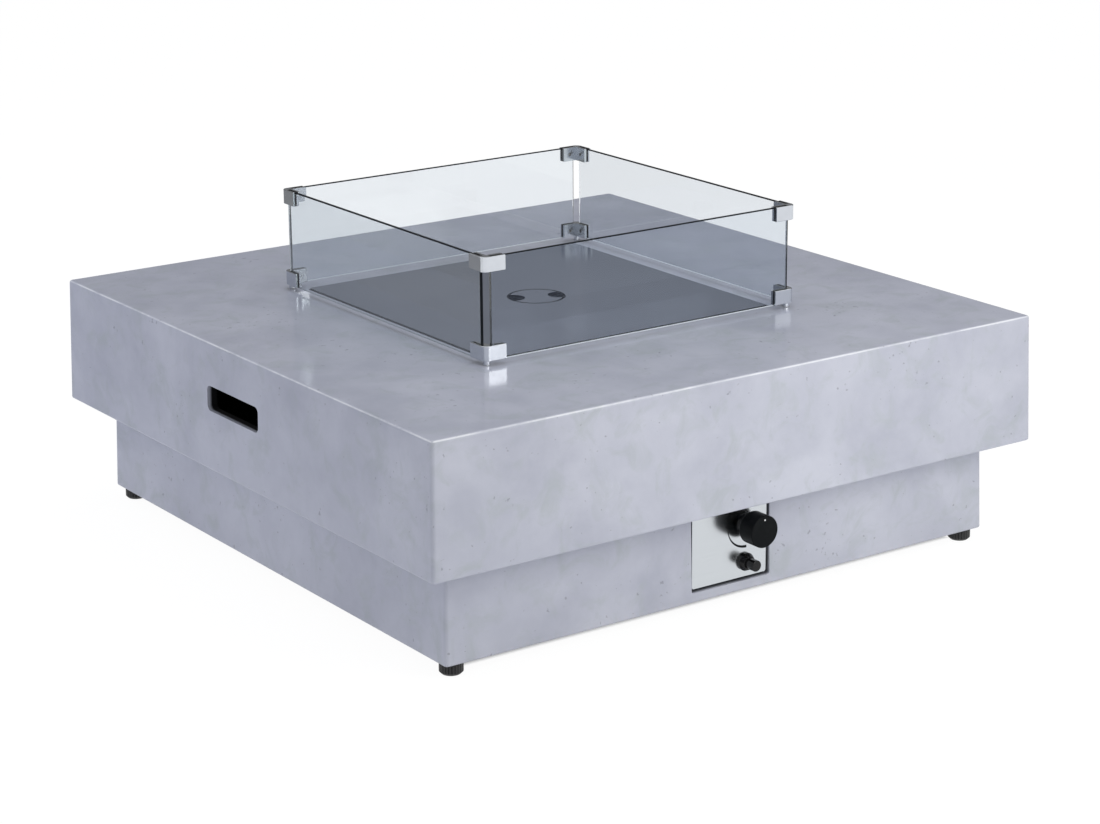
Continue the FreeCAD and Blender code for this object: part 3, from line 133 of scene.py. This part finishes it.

# Lid and disc: their colours, the black painted shade below the top faces, and the black ring of painted
# shadow between them
LID_DARK = (0.157, 0.17, 0.205)
LID_PALE = (0.168, 0.181, 0.217)
RIM_DROP = 0.00015
RIM_SHADE_BLACK = (0.004, 0.004, 0.006)
SHADE_RING_RADIUS = 0.0429
SHADE_RING_HALF = 0.0022

# Glass: the tint of its body and its shadow, where its edges begin, and the dark and pale painted reflections
# on them
GLASS_BODY = (0.25, 0.42, 0.44, 1.0)
GLASS_DENSITY = 7.0
GLASS_SHADOW = (0.9, 0.92, 0.92, 1.0)
PANE_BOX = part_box("glass_front")
PANE_END = PANE_BOX[1][0] - 0.0006
PANE_TOP = PANE_BOX[1][2] - 0.0012
PANE_BOTTOM = PANE_BOX[0][2] + 0.0007
EDGE_DARK_REFLECTION = (0.004, 0.006, 0.009)
EDGE_PALE_REFLECTION = (0.9, 0.92, 0.94)
EDGE_DIM_REFLECTION = (0.3, 0.32, 0.34)
END_CLEAR = 0.15

WHITE = (1.0, 1.0, 1.0, 1.0)

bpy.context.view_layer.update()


class Surface:
    """A principled material whose colour, roughness and relief come from noise in the table's frame."""

    def __init__(self, name, colour=(0.5, 0.5, 0.5), roughness=0.5, metallic=0.0, **inputs):
        self.material = bpy.data.materials.new(name)
        self.material.use_nodes = True
        self.nodes = self.material.node_tree.nodes
        self.links = self.material.node_tree.links
        self.shader = self.nodes["Principled BSDF"]
        self.shader.inputs["Base Color"].default_value = (*colour, 1.0)
        self.shader.inputs["Roughness"].default_value = roughness
        self.shader.inputs["Metallic"].default_value = metallic
        for socket, value in inputs.items():
            self.shader.inputs[socket.replace("_", " ")].default_value = value
        self.places = self.nodes.new("ShaderNodeTexCoord").outputs["Object"]

    def link(self, source, target):
        self.links.new(source, target)

    def feed(self, socket, source):
        """Puts a number, a colour or another node's output into a socket."""
        if isinstance(source, (int, float)):
            socket.default_value = source
        elif isinstance(source, tuple):
            is_colour = len(source) == 3 and len(socket.default_value) == 4
            socket.default_value = (*source, 1.0) if is_colour else source
        else:
            self.link(source, socket)

    def maths(self, operation, first, second=0.0, third=0.0, clamp=False):
        node = self.nodes.new("ShaderNodeMath")
        node.operation = operation
        node.use_clamp = clamp
        for socket, source in zip(node.inputs, (first, second, third)):
            self.feed(socket, source)
        return node.outputs[0]

    def axes(self, source=None):
        node = self.nodes.new("ShaderNodeSeparateXYZ")
        self.link(source or self.places, node.inputs[0])
        return node.outputs

    def stretched(self, x, y, z):
        """Coordinates scaled along each axis, for streaks and brushed grain."""
        node = self.nodes.new("ShaderNodeMapping")
        node.inputs["Scale"].default_value = (x, y, z)
        self.link(self.places, node.inputs["Vector"])
        return node.outputs[0]

    def noise(self, scale, detail=3.0, roughness=0.55, places=None, distortion=0.0):
        node = self.nodes.new("ShaderNodeTexNoise")
        node.inputs["Scale"].default_value = scale
        node.inputs["Detail"].default_value = detail
        node.inputs["Roughness"].default_value = roughness
        node.inputs["Distortion"].default_value = distortion
        self.link(places or self.places, node.inputs["Vector"])
        return node.outputs["Fac"]

    def spread(self, source, low, high, to_low=0.0, to_high=1.0):
        """Maps low..high to to_low..to_high and holds the ends."""
        node = self.nodes.new("ShaderNodeMapRange")
        for socket, value in zip(node.inputs[1:5], (low, high, to_low, to_high)):
            self.feed(socket, value)
        self.link(source, node.inputs[0])
        return node.outputs[0]

    def blend(self, amount, first, second):
        """Mixes two colours."""
        node = self.nodes.new("ShaderNodeMix")
        node.data_type = "RGBA"
        self.feed(node.inputs[0], amount)
        self.feed(node.inputs[6], first)
        self.feed(node.inputs[7], second)
        return node.outputs[2]

    def radius(self, across, up):
        """Distance from an axis, from two offsets."""
        squares = [self.maths("POWER", offset, 2.0) for offset in (across, up)]
        return self.maths("SQRT", self.maths("ADD", *squares))

    def within(self, value, middle, reach):
        """1 where a value is less than the reach from the middle."""
        return self.maths("LESS_THAN", self.maths("ABSOLUTE", self.maths("SUBTRACT", value, middle)), reach)

    def depth_below_side(self, x, y, z, foot):
        """Depth below the sloping sides of a casing that reach out to foot at the floor."""
        reach = self.maths("MAXIMUM", self.maths("ABSOLUTE", x), self.maths("ABSOLUTE", y))
        return self.maths("SUBTRACT", self.maths("MULTIPLY_ADD", z, DRAFT, foot), reach)

    def unsealed_shaded_inside(self, x, y, z):
        """1 on the unsealed faces inside the casings and part of 1 on the sides of the control opening, all
        painted dark as shade.
        """
        below = self.maths("LESS_THAN", z, HOLLOW_BOTTOM)
        skin = self.depth_below_side(x, y, z, CASING_FOOT)
        casing = self.maths("MULTIPLY", self.spread(skin, *CASING_SKIN), self.spread(z, *HOLLOW_TOP))
        casing = self.maths("MULTIPLY", casing, self.maths("SUBTRACT", 1.0, below))
        skin = self.depth_below_side(x, y, z, BASE_FOOT)
        base = self.maths("MULTIPLY", self.spread(skin, *BASE_SKIN),
                          self.maths("GREATER_THAN", z, BASE_BOTTOM))
        hollow = self.maths("MAXIMUM", casing, self.maths("MULTIPLY", base, below))
        behind = self.spread(y, PANEL_BOX[0][1] - REBATE_EDGE, PANEL_BOX[0][1] + REBATE_EDGE)
        behind = self.maths("MULTIPLY", behind, self.maths("LESS_THAN", y, REBATE_BACK))
        opening = self.maths("MULTIPLY", self.within(x, PANEL_X, PANEL_REACH_X),
                             self.within(z, PANEL_Z, PANEL_REACH_Z))
        rebate = self.maths("MULTIPLY", opening, behind)
        return self.maths("MAXIMUM", hollow, self.maths("MULTIPLY", rebate, REBATE_SHADE))

    def colour(self, source):
        self.link(source, self.shader.inputs["Base Color"])

    def roughness(self, source):
        self.link(source, self.shader.inputs["Roughness"])

    def relief(self, height, depth, strength):
        """Adds a bump of the given depth in metres."""
        node = self.nodes.new("ShaderNodeBump")
        node.inputs["Strength"].default_value = strength
        node.inputs["Distance"].default_value = depth
        self.link(height, node.inputs["Height"])
        self.link(node.outputs[0], self.shader.inputs["Normal"])


def cast_concrete():
    """Sealed pale blue-grey concrete: clouds, patches, faint streaks, stains and pits, a painted highlight on
    the top arris and painted shade inside.
    """
    s = Surface("cast_concrete", roughness=0.5, Coat_Roughness=0.13, Coat_IOR=1.5, Specular_IOR_Level=0.3)
    x, y, z = s.axes()
    facing = s.axes(s.nodes.new("ShaderNodeNewGeometry").outputs["Normal"])
    inside = s.unsealed_shaded_inside(x, y, z)
    sealer = s.spread(facing[2], 0.5, 0.95, COAT_SIDES, COAT_TOP)
    sealed = s.maths("MULTIPLY", sealer, s.maths("SUBTRACT", 1.0, inside))
    s.link(sealed, s.shader.inputs["Coat Weight"])
    clouds = s.spread(s.noise(5.0, 5.0, 0.6, distortion=0.4), 0.35, 0.68)
    patches = s.spread(s.noise(16.0, 4.0, 0.6), 0.35, 0.7)
    streaks = s.spread(s.noise(9.0, 3.0, 0.6, places=s.stretched(0.35, 0.35, 1.6)), 0.4, 0.7)
    grain = s.noise(420.0, 2.0, 0.6)
    clusters = s.spread(s.noise(11.0, 2.0, 0.5), 0.52, 0.68)
    stains = s.spread(s.noise(19.0, 5.0, 0.65, distortion=0.8), 0.5, 0.68)
    pits = s.spread(s.maths("MULTIPLY_ADD", clusters, PIT_CLUSTERING, s.noise(120.0, 2.0, 0.5)), *PIT_RANGE)
    # Painted highlight: a pale line along the slab's top arris, broken up by the patches
    arris = s.maths("MULTIPLY", s.spread(s.depth_below_side(x, y, z, CASING_FOOT), *ARRIS_HIGHLIGHT_WIDTH),
                    s.spread(s.maths("SUBTRACT", CASING_TOP, z), *ARRIS_HIGHLIGHT_WIDTH))
    arris = s.maths("MULTIPLY", arris, s.spread(patches, 0.0, 0.6, 0.35, 1.0))
    base = s.blend(clouds, CONCRETE_DARK, CONCRETE_PALE)
    base = s.blend(s.maths("MULTIPLY", patches, PATCH_SHARE), base, CONCRETE_LIGHT)
    base = s.blend(s.maths("MULTIPLY", streaks, STREAK_SHARE), base, CONCRETE_STREAK)
    base = s.blend(s.maths("MULTIPLY", grain, GRAIN_SHARE), base, CONCRETE_GRAIN)
    base = s.blend(s.maths("MULTIPLY", stains, STAIN_SHARE), base, CONCRETE_STAIN)
    base = s.blend(s.maths("MULTIPLY", pits, PIT_SHARE), base, CONCRETE_PIT)
    base = s.blend(arris, base, CONCRETE_ARRIS_HIGHLIGHT)
    # Painted shade: near-black on the insides of the casings and dark on the sides of the control opening
    base = s.blend(inside, base, CONCRETE_INSIDE_SHADE)
    s.colour(base)
    s.roughness(s.maths("MAXIMUM", s.spread(patches, 0.0, 1.0, 0.46, 0.6), inside))
    relief = s.maths("ADD", s.maths("MULTIPLY", grain, 0.35), s.maths("MULTIPLY", clouds, 0.65))
    relief = s.maths("SUBTRACT", relief, s.maths("MULTIPLY", pits, 2.0))
    s.relief(relief, 0.00025, 0.5)
    return s.material


def brushed(name, colour, darker, roughness):
    """Satin metal with grain along x and slightly uneven polish."""
    s = Surface(name, roughness=roughness, metallic=1.0)
    grain = s.noise(22.0, 4.0, 0.7, places=s.stretched(1.0, 40.0, 40.0))
    smears = s.spread(s.noise(14.0, 3.0, 0.6), 0.35, 0.7)
    s.colour(s.blend(s.maths("MULTIPLY", grain, 0.8), colour, darker))
    uneven = s.maths("MULTIPLY_ADD", smears, 0.05, roughness - 0.05)
    s.roughness(s.maths("ADD", s.maths("MULTIPLY", grain, 0.05), uneven))
    s.relief(grain, 0.00004, 0.3)
    return s.material


def polished(name, colour, roughness):
    """Polished metal with faint smears."""
    s = Surface(name, metallic=1.0)
    smears = s.spread(s.noise(60.0, 3.0, 0.6), 0.35, 0.7)
    s.colour(s.blend(s.maths("MULTIPLY", smears, 0.3), colour, tuple(c * 0.85 for c in colour)))
    s.roughness(s.maths("MULTIPLY_ADD", smears, 0.06, roughness))
    s.relief(s.noise(25.0, 2.0), 0.00006, 0.25)
    return s.material


def moulded(name, colour, lighter, roughness, gloss=0.5):
    """Moulded plastic or rubber with a fine leather of grain."""
    s = Surface(name, roughness=roughness, Specular_IOR_Level=gloss)
    grain = s.noise(900.0, 2.0, 0.5)
    dust = s.spread(s.noise(45.0, 3.0, 0.6), 0.45, 0.75)
    s.colour(s.blend(s.maths("MULTIPLY", dust, 0.4), colour, lighter))
    s.roughness(s.maths("MULTIPLY_ADD", grain, 0.12, roughness - 0.06))
    s.relief(grain, 0.00005, 0.4)
    return s.material


def knob_plastic():
    """Black satin plastic with a white dot near the knob's rim."""
    s = Surface("knob_plastic", roughness=0.32, Specular_IOR_Level=0.06)
    x, y, z = s.axes()
    grain = s.noise(900.0, 2.0, 0.5)
    dust = s.spread(s.noise(60.0, 3.0, 0.6), 0.45, 0.75)
    distance = s.radius(s.maths("SUBTRACT", x, KNOB_X), s.maths("SUBTRACT", z, KNOB_Z + DOT_HEIGHT))
    dot = s.spread(distance, DOT_RADIUS, DOT_RADIUS * 0.8)
    front = s.spread(y, KNOB_BOX[0][1] + 0.0008, KNOB_BOX[0][1] + 0.0006)
    black = s.blend(s.maths("MULTIPLY", dust, 0.4), (0.005, 0.006, 0.007), (0.011, 0.012, 0.013))
    s.colour(s.blend(s.maths("MULTIPLY", dot, front), black, (0.85, 0.86, 0.86)))
    s.roughness(s.maths("MULTIPLY_ADD", grain, 0.1, 0.28))
    s.relief(grain, 0.00004, 0.3)
    return s.material


def panel_steel():
    """Polished grey steel plate with a tapered arc printed round the knob."""
    s = Surface("panel_steel", metallic=1.0)
    x, y, z = s.axes()
    grain = s.noise(22.0, 4.0, 0.7, places=s.stretched(1.0, 40.0, 40.0))
    smears = s.spread(s.noise(30.0, 3.0, 0.6), 0.35, 0.7)
    across = s.maths("SUBTRACT", x, KNOB_X)
    up = s.maths("SUBTRACT", z, KNOB_Z)
    distance = s.radius(across, up)
    turned = s.maths("WRAP", s.maths("ARCTAN2", up, across), 2.0 * math.pi, 0.0)
    in_arc = s.maths("MULTIPLY", s.maths("GREATER_THAN", turned, ARC_START),
                     s.maths("LESS_THAN", turned, ARC_END))
    thickness = s.spread(turned, ARC_START, ARC_END, ARC_THIN, ARC_THICK)
    line = s.maths("MULTIPLY", s.maths("GREATER_THAN", distance, ARC_INNER),
                   s.maths("LESS_THAN", s.maths("SUBTRACT", distance, ARC_INNER), thickness))
    face = s.within(y, PANEL_FACE, 0.0004)
    print_mask = s.maths("MULTIPLY", s.maths("MULTIPLY", in_arc, line), face)
    steel = s.blend(s.maths("MULTIPLY", grain, 0.6), (0.63, 0.66, 0.69), (0.54, 0.57, 0.60))
    s.colour(s.blend(print_mask, steel, (0.02, 0.02, 0.022)))
    uneven = s.maths("MULTIPLY_ADD", smears, 0.05, 0.17)
    s.roughness(s.maths("ADD", s.maths("MULTIPLY", grain, 0.04), uneven))
    s.relief(grain, 0.00003, 0.2)
    return s.material


def painted_steel(name, top, roughness):
    """Dark satin powder coat with a fine orange peel, with black painted shade below the given height and a
    black ring of painted shadow round the disc.
    """
    s = Surface(name, roughness=roughness)
    x, y, z = s.axes()
    peel = s.noise(350.0, 2.0, 0.5)
    clouds = s.spread(s.noise(6.0, 4.0, 0.6), 0.35, 0.68)
    # Painted shade: black on the faces below the top, the sides of the lid and the walls of its hole
    under = s.spread(z, top - RIM_DROP, top - 2.0 * RIM_DROP)
    # Painted shadow: a black ring round the grip disc
    shade_ring = s.within(s.radius(x, y), SHADE_RING_RADIUS, SHADE_RING_HALF)
    s.colour(s.blend(s.maths("MAXIMUM", under, shade_ring), s.blend(clouds, LID_DARK, LID_PALE), RIM_SHADE_BLACK))
    s.roughness(s.maths("MULTIPLY_ADD", clouds, 0.02, roughness - 0.01))
    s.relief(peel, 0.00001, 0.2)
    return s.material


def clear_rubber():
    """Milky clear pads under the guard."""
    s = Surface("clear_rubber", roughness=0.3, Transmission_Weight=0.4)
    s.colour(s.blend(s.noise(300.0, 2.0), (0.7, 0.72, 0.75), (0.8, 0.82, 0.85)))
    return s.material


def clear_glass(name, tint, mirrored_tint, clearness):
    """Clear toughened glass that lets lamps through, with a painted reflection on its edges: dark at its top
    and ends and pale at its bottom.
    """
    s = Surface(name, colour=tint, roughness=0.0, IOR=1.5, Specular_Tint=(*mirrored_tint, 1.0),
                Transmission_Weight=clearness)
    x, y, z = s.axes()
    smears = s.spread(s.noise(7.0, 3.0, 0.6), 0.45, 0.75)
    s.roughness(s.maths("MULTIPLY", smears, 0.015))
    body = s.nodes.new("ShaderNodeVolumeAbsorption")
    body.inputs["Color"].default_value = GLASS_BODY
    body.inputs["Density"].default_value = GLASS_DENSITY
    output = s.nodes["Material Output"]
    s.link(body.outputs[0], output.inputs["Volume"])
    clear = s.nodes.new("ShaderNodeBsdfTransparent")
    clear.inputs["Color"].default_value = GLASS_SHADOW
    ray = s.nodes.new("ShaderNodeLightPath")
    mix = s.nodes.new("ShaderNodeMixShader")
    plain = s.maths("MAXIMUM", ray.outputs["Is Shadow Ray"], ray.outputs["Is Diffuse Ray"])
    mirrored = s.maths("SUBTRACT", ray.outputs["Is Glossy Ray"], ray.outputs["Is Transmission Ray"],
                       clamp=True)
    s.link(s.maths("MAXIMUM", plain, mirrored), mix.inputs[0])
    s.link(s.shader.outputs[0], mix.inputs[1])
    s.link(clear.outputs[0], mix.inputs[2])
    # Painted reflection on the edges: dark on the tops and the ends, seen from outside, and pale on the
    # bottoms
    wide = s.maths("ABSOLUTE", x)
    deep = s.maths("ABSOLUTE", y)
    end = s.maths("GREATER_THAN", s.maths("MINIMUM", wide, deep), PANE_END)
    end = s.maths("MULTIPLY", end, s.maths("MULTIPLY_ADD", s.maths("LESS_THAN", wide, deep), -END_CLEAR, 1.0))
    bottom = s.maths("LESS_THAN", z, PANE_BOTTOM)
    pale = s.blend(s.maths("LESS_THAN", x, -PANE_END), EDGE_PALE_REFLECTION, EDGE_DIM_REFLECTION)
    outside = s.maths("SUBTRACT", 1.0, s.nodes.new("ShaderNodeNewGeometry").outputs["Backfacing"])
    dark = s.maths("MULTIPLY", s.maths("MAXIMUM", end, s.maths("GREATER_THAN", z, PANE_TOP)), outside)
    edge = s.maths("MAXIMUM", dark, bottom)
    edge_reflection_paint = s.nodes.new("ShaderNodeBsdfPrincipled")
    edge_reflection_paint.inputs["Roughness"].default_value = 0.35
    edge_reflection_paint.inputs["Specular IOR Level"].default_value = 0.1
    s.link(s.blend(bottom, EDGE_DARK_REFLECTION, pale), edge_reflection_paint.inputs["Base Color"])
    finish = s.nodes.new("ShaderNodeMixShader")
    s.link(edge, finish.inputs[0])
    s.link(mix.outputs[0], finish.inputs[1])
    s.link(edge_reflection_paint.outputs[0], finish.inputs[2])
    s.link(finish.outputs[0], output.inputs["Surface"])
    return s.material


def make_materials():
    """One material for each material slot of the record."""
    return {
        "casing": cast_concrete(),
        "plated_steel": brushed("plated_steel", (0.62, 0.62, 0.6), (0.5, 0.5, 0.49), 0.35),
        "foot_plastic": moulded("foot_plastic", (0.012, 0.012, 0.013), (0.035, 0.035, 0.035), 0.5),
        "pan_steel": brushed("pan_steel", (0.5, 0.5, 0.5), (0.4, 0.4, 0.4), 0.35),
        "burner_steel": brushed("burner_steel", (0.58, 0.57, 0.55), (0.48, 0.46, 0.43), 0.3),
        "brass": brushed("brass", (0.78, 0.6, 0.3), (0.65, 0.48, 0.22), 0.25),
        "ceramic": moulded("ceramic", (0.83, 0.81, 0.76), (0.75, 0.72, 0.66), 0.2),
        "copper": brushed("copper", (0.75, 0.42, 0.28), (0.6, 0.3, 0.18), 0.3),
        "panel_steel": panel_steel(),
        "knob_plastic": knob_plastic(),
        "black_plastic": moulded("black_plastic", (0.006, 0.006, 0.007), (0.012, 0.012, 0.012),
                                 0.15, 0.22),
        "button_plastic": moulded("button_plastic", (0.006, 0.006, 0.007), (0.012, 0.012, 0.012),
                                  0.12, 0.25),
        "valve_alloy": brushed("valve_alloy", (0.55, 0.55, 0.55), (0.45, 0.45, 0.45), 0.45),
        "tube_alloy": brushed("tube_alloy", (0.66, 0.66, 0.66), (0.56, 0.56, 0.56), 0.35),
        "battery_steel": brushed("battery_steel", (0.5, 0.5, 0.52), (0.4, 0.4, 0.42), 0.3),
        "lead_rubber": moulded("lead_rubber", (0.3, 0.03, 0.02), (0.36, 0.06, 0.05), 0.5),
        "lid_steel": painted_steel("lid_steel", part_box("lid_plate")[1][2], 0.16),
        "disc_steel": painted_steel("disc_steel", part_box("lid_grip_disc")[1][2], 0.14),
        "clear_glass": clear_glass("clear_glass", (0.885, 0.912, 0.945), (1.0, 1.0, 1.0), 0.965),
        "clip_chrome": polished("clip_chrome", (0.65, 0.68, 0.73), 0.18),
        "gasket_rubber": moulded("gasket_rubber", (0.015, 0.015, 0.016), (0.03, 0.03, 0.03), 0.6),
        "screw_steel": brushed("screw_steel", (0.4, 0.4, 0.4), (0.3, 0.3, 0.3), 0.3),
    }


def dress_nodes():
    """Gives each shown node the material of its slot."""
    materials = make_materials()
    materials["post_pads"] = clear_rubber()
    materials["glass_front"] = clear_glass("clean_glass", (0.945, 0.962, 0.985), (0.36, 0.42, 0.58), 1.0)
    # Painted shade: the cup under the grip disc is made black, as it falls in shade
    materials["lid_grip_cup"] = moulded("cup_shade_black", (0.008, 0.008, 0.009), (0.014, 0.014, 0.015), 0.4, 0.2)
    for part in frame["record"]["subparts"]:
        node = frame["nodes"][part["node"]]
        for slot in node.material_slots:
            slot.link = "OBJECT"
            slot.material = materials.get(part["node"], materials[part["material_slot"]])


def largest(nodes, links, sources):
    """The largest of several values."""
    total = sources[0]
    for source in sources[1:]:
        node = nodes.new("ShaderNodeMath")
        node.operation = "MAXIMUM"
        links.new(total, node.inputs[0])
        links.new(source, node.inputs[1])
        total = node.outputs[0]
    return total


def seen_directly(nodes, links):
    """1 for rays from the camera, off gloss and through glass, which all see the white background."""
    ray = nodes.new("ShaderNodeLightPath")
    names = ("Is Camera Ray", "Is Glossy Ray", "Is Transmission Ray")
    return largest(nodes, links, [ray.outputs[name] for name in names])


def make_world():
    """Even surroundings that light the table, white where they are seen."""
    world = bpy.data.worlds.new("studio")
    world.use_nodes = True
    bpy.context.scene.world = world
    nodes = world.node_tree.nodes
    links = world.node_tree.links
    light = nodes["Background"]
    light.inputs["Color"].default_value = SURROUND_COLOUR
    light.inputs["Strength"].default_value = SURROUND_STRENGTH
    white = nodes.new("ShaderNodeBackground")
    white.inputs["Color"].default_value = WHITE
    mix = nodes.new("ShaderNodeMixShader")
    links.new(seen_directly(nodes, links), mix.inputs[0])
    links.new(light.outputs[0], mix.inputs[1])
    links.new(white.outputs[0], mix.inputs[2])
    links.new(mix.outputs[0], nodes["World Output"].inputs["Surface"])


def outside_base(nodes, links):
    """The share of white in the floor, which is none on the dark floor inside the open base."""
    places = nodes.new("ShaderNodeSeparateXYZ")
    links.new(nodes.new("ShaderNodeTexCoord").outputs["Object"], places.inputs[0])
    sizes = []
    for axis in places.outputs[:2]:
        size = nodes.new("ShaderNodeMath")
        size.operation = "ABSOLUTE"
        links.new(axis, size.inputs[0])
        sizes.append(size.outputs[0])
    outside = nodes.new("ShaderNodeMapRange")
    links.new(largest(nodes, links, sizes), outside.inputs[0])
    for socket, value in zip(outside.inputs[1:5], (*FLOOR_DARK, 0.0, FLOOR_WHITE)):
        socket.default_value = value
    return outside.outputs[0]


def make_floor():
    """A plain pale floor that shows white, with a faint shadow under the table."""
    half = FLOOR_HALF
    mesh = bpy.data.meshes.new("floor")
    corners = [(-half, -half, 0), (half, -half, 0), (half, half, 0), (-half, half, 0)]
    mesh.from_pydata(corners, [], [(0, 1, 2, 3)])
    floor = bpy.data.objects.new("floor", mesh)
    bpy.context.collection.objects.link(floor)
    material = bpy.data.materials.new("floor")
    material.use_nodes = True
    nodes = material.node_tree.nodes
    links = material.node_tree.links
    paint = nodes["Principled BSDF"]
    paint.inputs["Base Color"].default_value = FLOOR_PAINT
    paint.inputs["Roughness"].default_value = 0.8
    glow = nodes.new("ShaderNodeEmission")
    glow.inputs["Color"].default_value = WHITE
    glow.inputs["Strength"].default_value = FLOOR_GLOW
    share = nodes.new("ShaderNodeMath")
    share.operation = "MULTIPLY"
    links.new(seen_directly(nodes, links), share.inputs[0])
    links.new(outside_base(nodes, links), share.inputs[1])
    mix = nodes.new("ShaderNodeMixShader")
    links.new(share.outputs[0], mix.inputs[0])
    links.new(paint.outputs[0], mix.inputs[1])
    links.new(glow.outputs[0], mix.inputs[2])
    links.new(mix.outputs[0], nodes["Material Output"].inputs["Surface"])
    mesh.materials.append(material)


def ring_part(name, start, end, steps, inner, outer):
    """A grey sheet following an arc about the table, from one (radius, height) to another."""
    verts = []
    for step in range(steps + 1):
        turn = math.radians(start + (end - start) * step / steps)
        for radius, height in (inner, outer):
            verts.append((radius * math.sin(turn), radius * math.cos(turn), height))
    faces = [(2 * k, 2 * k + 1, 2 * k + 3, 2 * k + 2) for k in range(steps)]
    mesh = bpy.data.meshes.new(name)
    mesh.from_pydata(verts, [], faces)
    return bpy.data.objects.new(name, mesh)


def make_walls():
    """The unlit side of the studio: a wall behind the table and a mat to its left, seen only in gloss."""
    wall = ring_part("studio_wall", WALL_FROM, WALL_TO, WALL_STEPS,
                     (WALL_RADIUS, WALL_FOOT), (WALL_RADIUS, WALL_HEIGHT))
    mat = ring_part("studio_mat", MAT_FROM, MAT_TO, MAT_STEPS,
                    (MAT_INNER, WALL_FOOT), (WALL_RADIUS, WALL_FOOT))
    for sheet, grey in ((wall, WALL_GREY), (mat, MAT_GREY)):
        material = bpy.data.materials.new(sheet.name)
        material.use_nodes = True
        nodes = material.node_tree.nodes
        glow = nodes.new("ShaderNodeEmission")
        glow.inputs["Color"].default_value = (grey, grey, grey, 1.0)
        material.node_tree.links.new(glow.outputs[0], nodes["Material Output"].inputs["Surface"])
        material.cycles.emission_sampling = "NONE"
        bpy.context.collection.objects.link(sheet)
        sheet.data.materials.append(material)
        sheet.visible_camera = False
        sheet.visible_diffuse = False
        sheet.visible_transmission = False
        sheet.visible_shadow = False
        sheet.visible_volume_scatter = False


def make_lamps():
    """Soft square lamps round the table."""
    for name, lamp in LAMPS.items():
        light = bpy.data.lights.new(name, "AREA")
        light.shape = "SQUARE"
        light.size = lamp["size"]
        light.energy = lamp["watts"]
        light.color = lamp["tint"]
        holder = bpy.data.objects.new(name, light)
        place = Vector(lamp["place"])
        aim = Vector(lamp["aim"]) - place
        holder.location = place
        holder.rotation_euler = aim.to_track_quat("-Z", "Y").to_euler()
        holder.visible_glossy = name == "key"
        holder.visible_camera = False
        holder.visible_transmission = False
        bpy.context.collection.objects.link(holder)


def make_camera():
    """The photograph's camera."""
    forward = Vector((math.sin(CAMERA_YAW) * math.cos(CAMERA_PITCH),
                      math.cos(CAMERA_YAW) * math.cos(CAMERA_PITCH),
                      -math.sin(CAMERA_PITCH)))
    right = Vector((math.cos(CAMERA_YAW), -math.sin(CAMERA_YAW), 0.0))
    up = right.cross(forward)
    across = right * math.cos(CAMERA_ROLL) + up * math.sin(CAMERA_ROLL)
    upward = up * math.cos(CAMERA_ROLL) - right * math.sin(CAMERA_ROLL)
    data = bpy.data.cameras.new("camera")
    data.sensor_width = CAMERA_SENSOR
    data.sensor_fit = "HORIZONTAL"
    data.lens = CAMERA_LENS
    data.clip_end = 100.0
    camera = bpy.data.objects.new("camera", data)
    turn = Matrix((across, upward, -forward)).transposed()
    camera.matrix_world = Matrix.Translation(CAMERA_PLACE) @ turn.to_4x4()
    bpy.context.collection.objects.link(camera)
    bpy.context.scene.camera = camera


dress_nodes()
make_world()
make_floor()
make_walls()
make_lamps()
make_camera()
bpy.context.scene.view_settings.view_transform = "Standard"
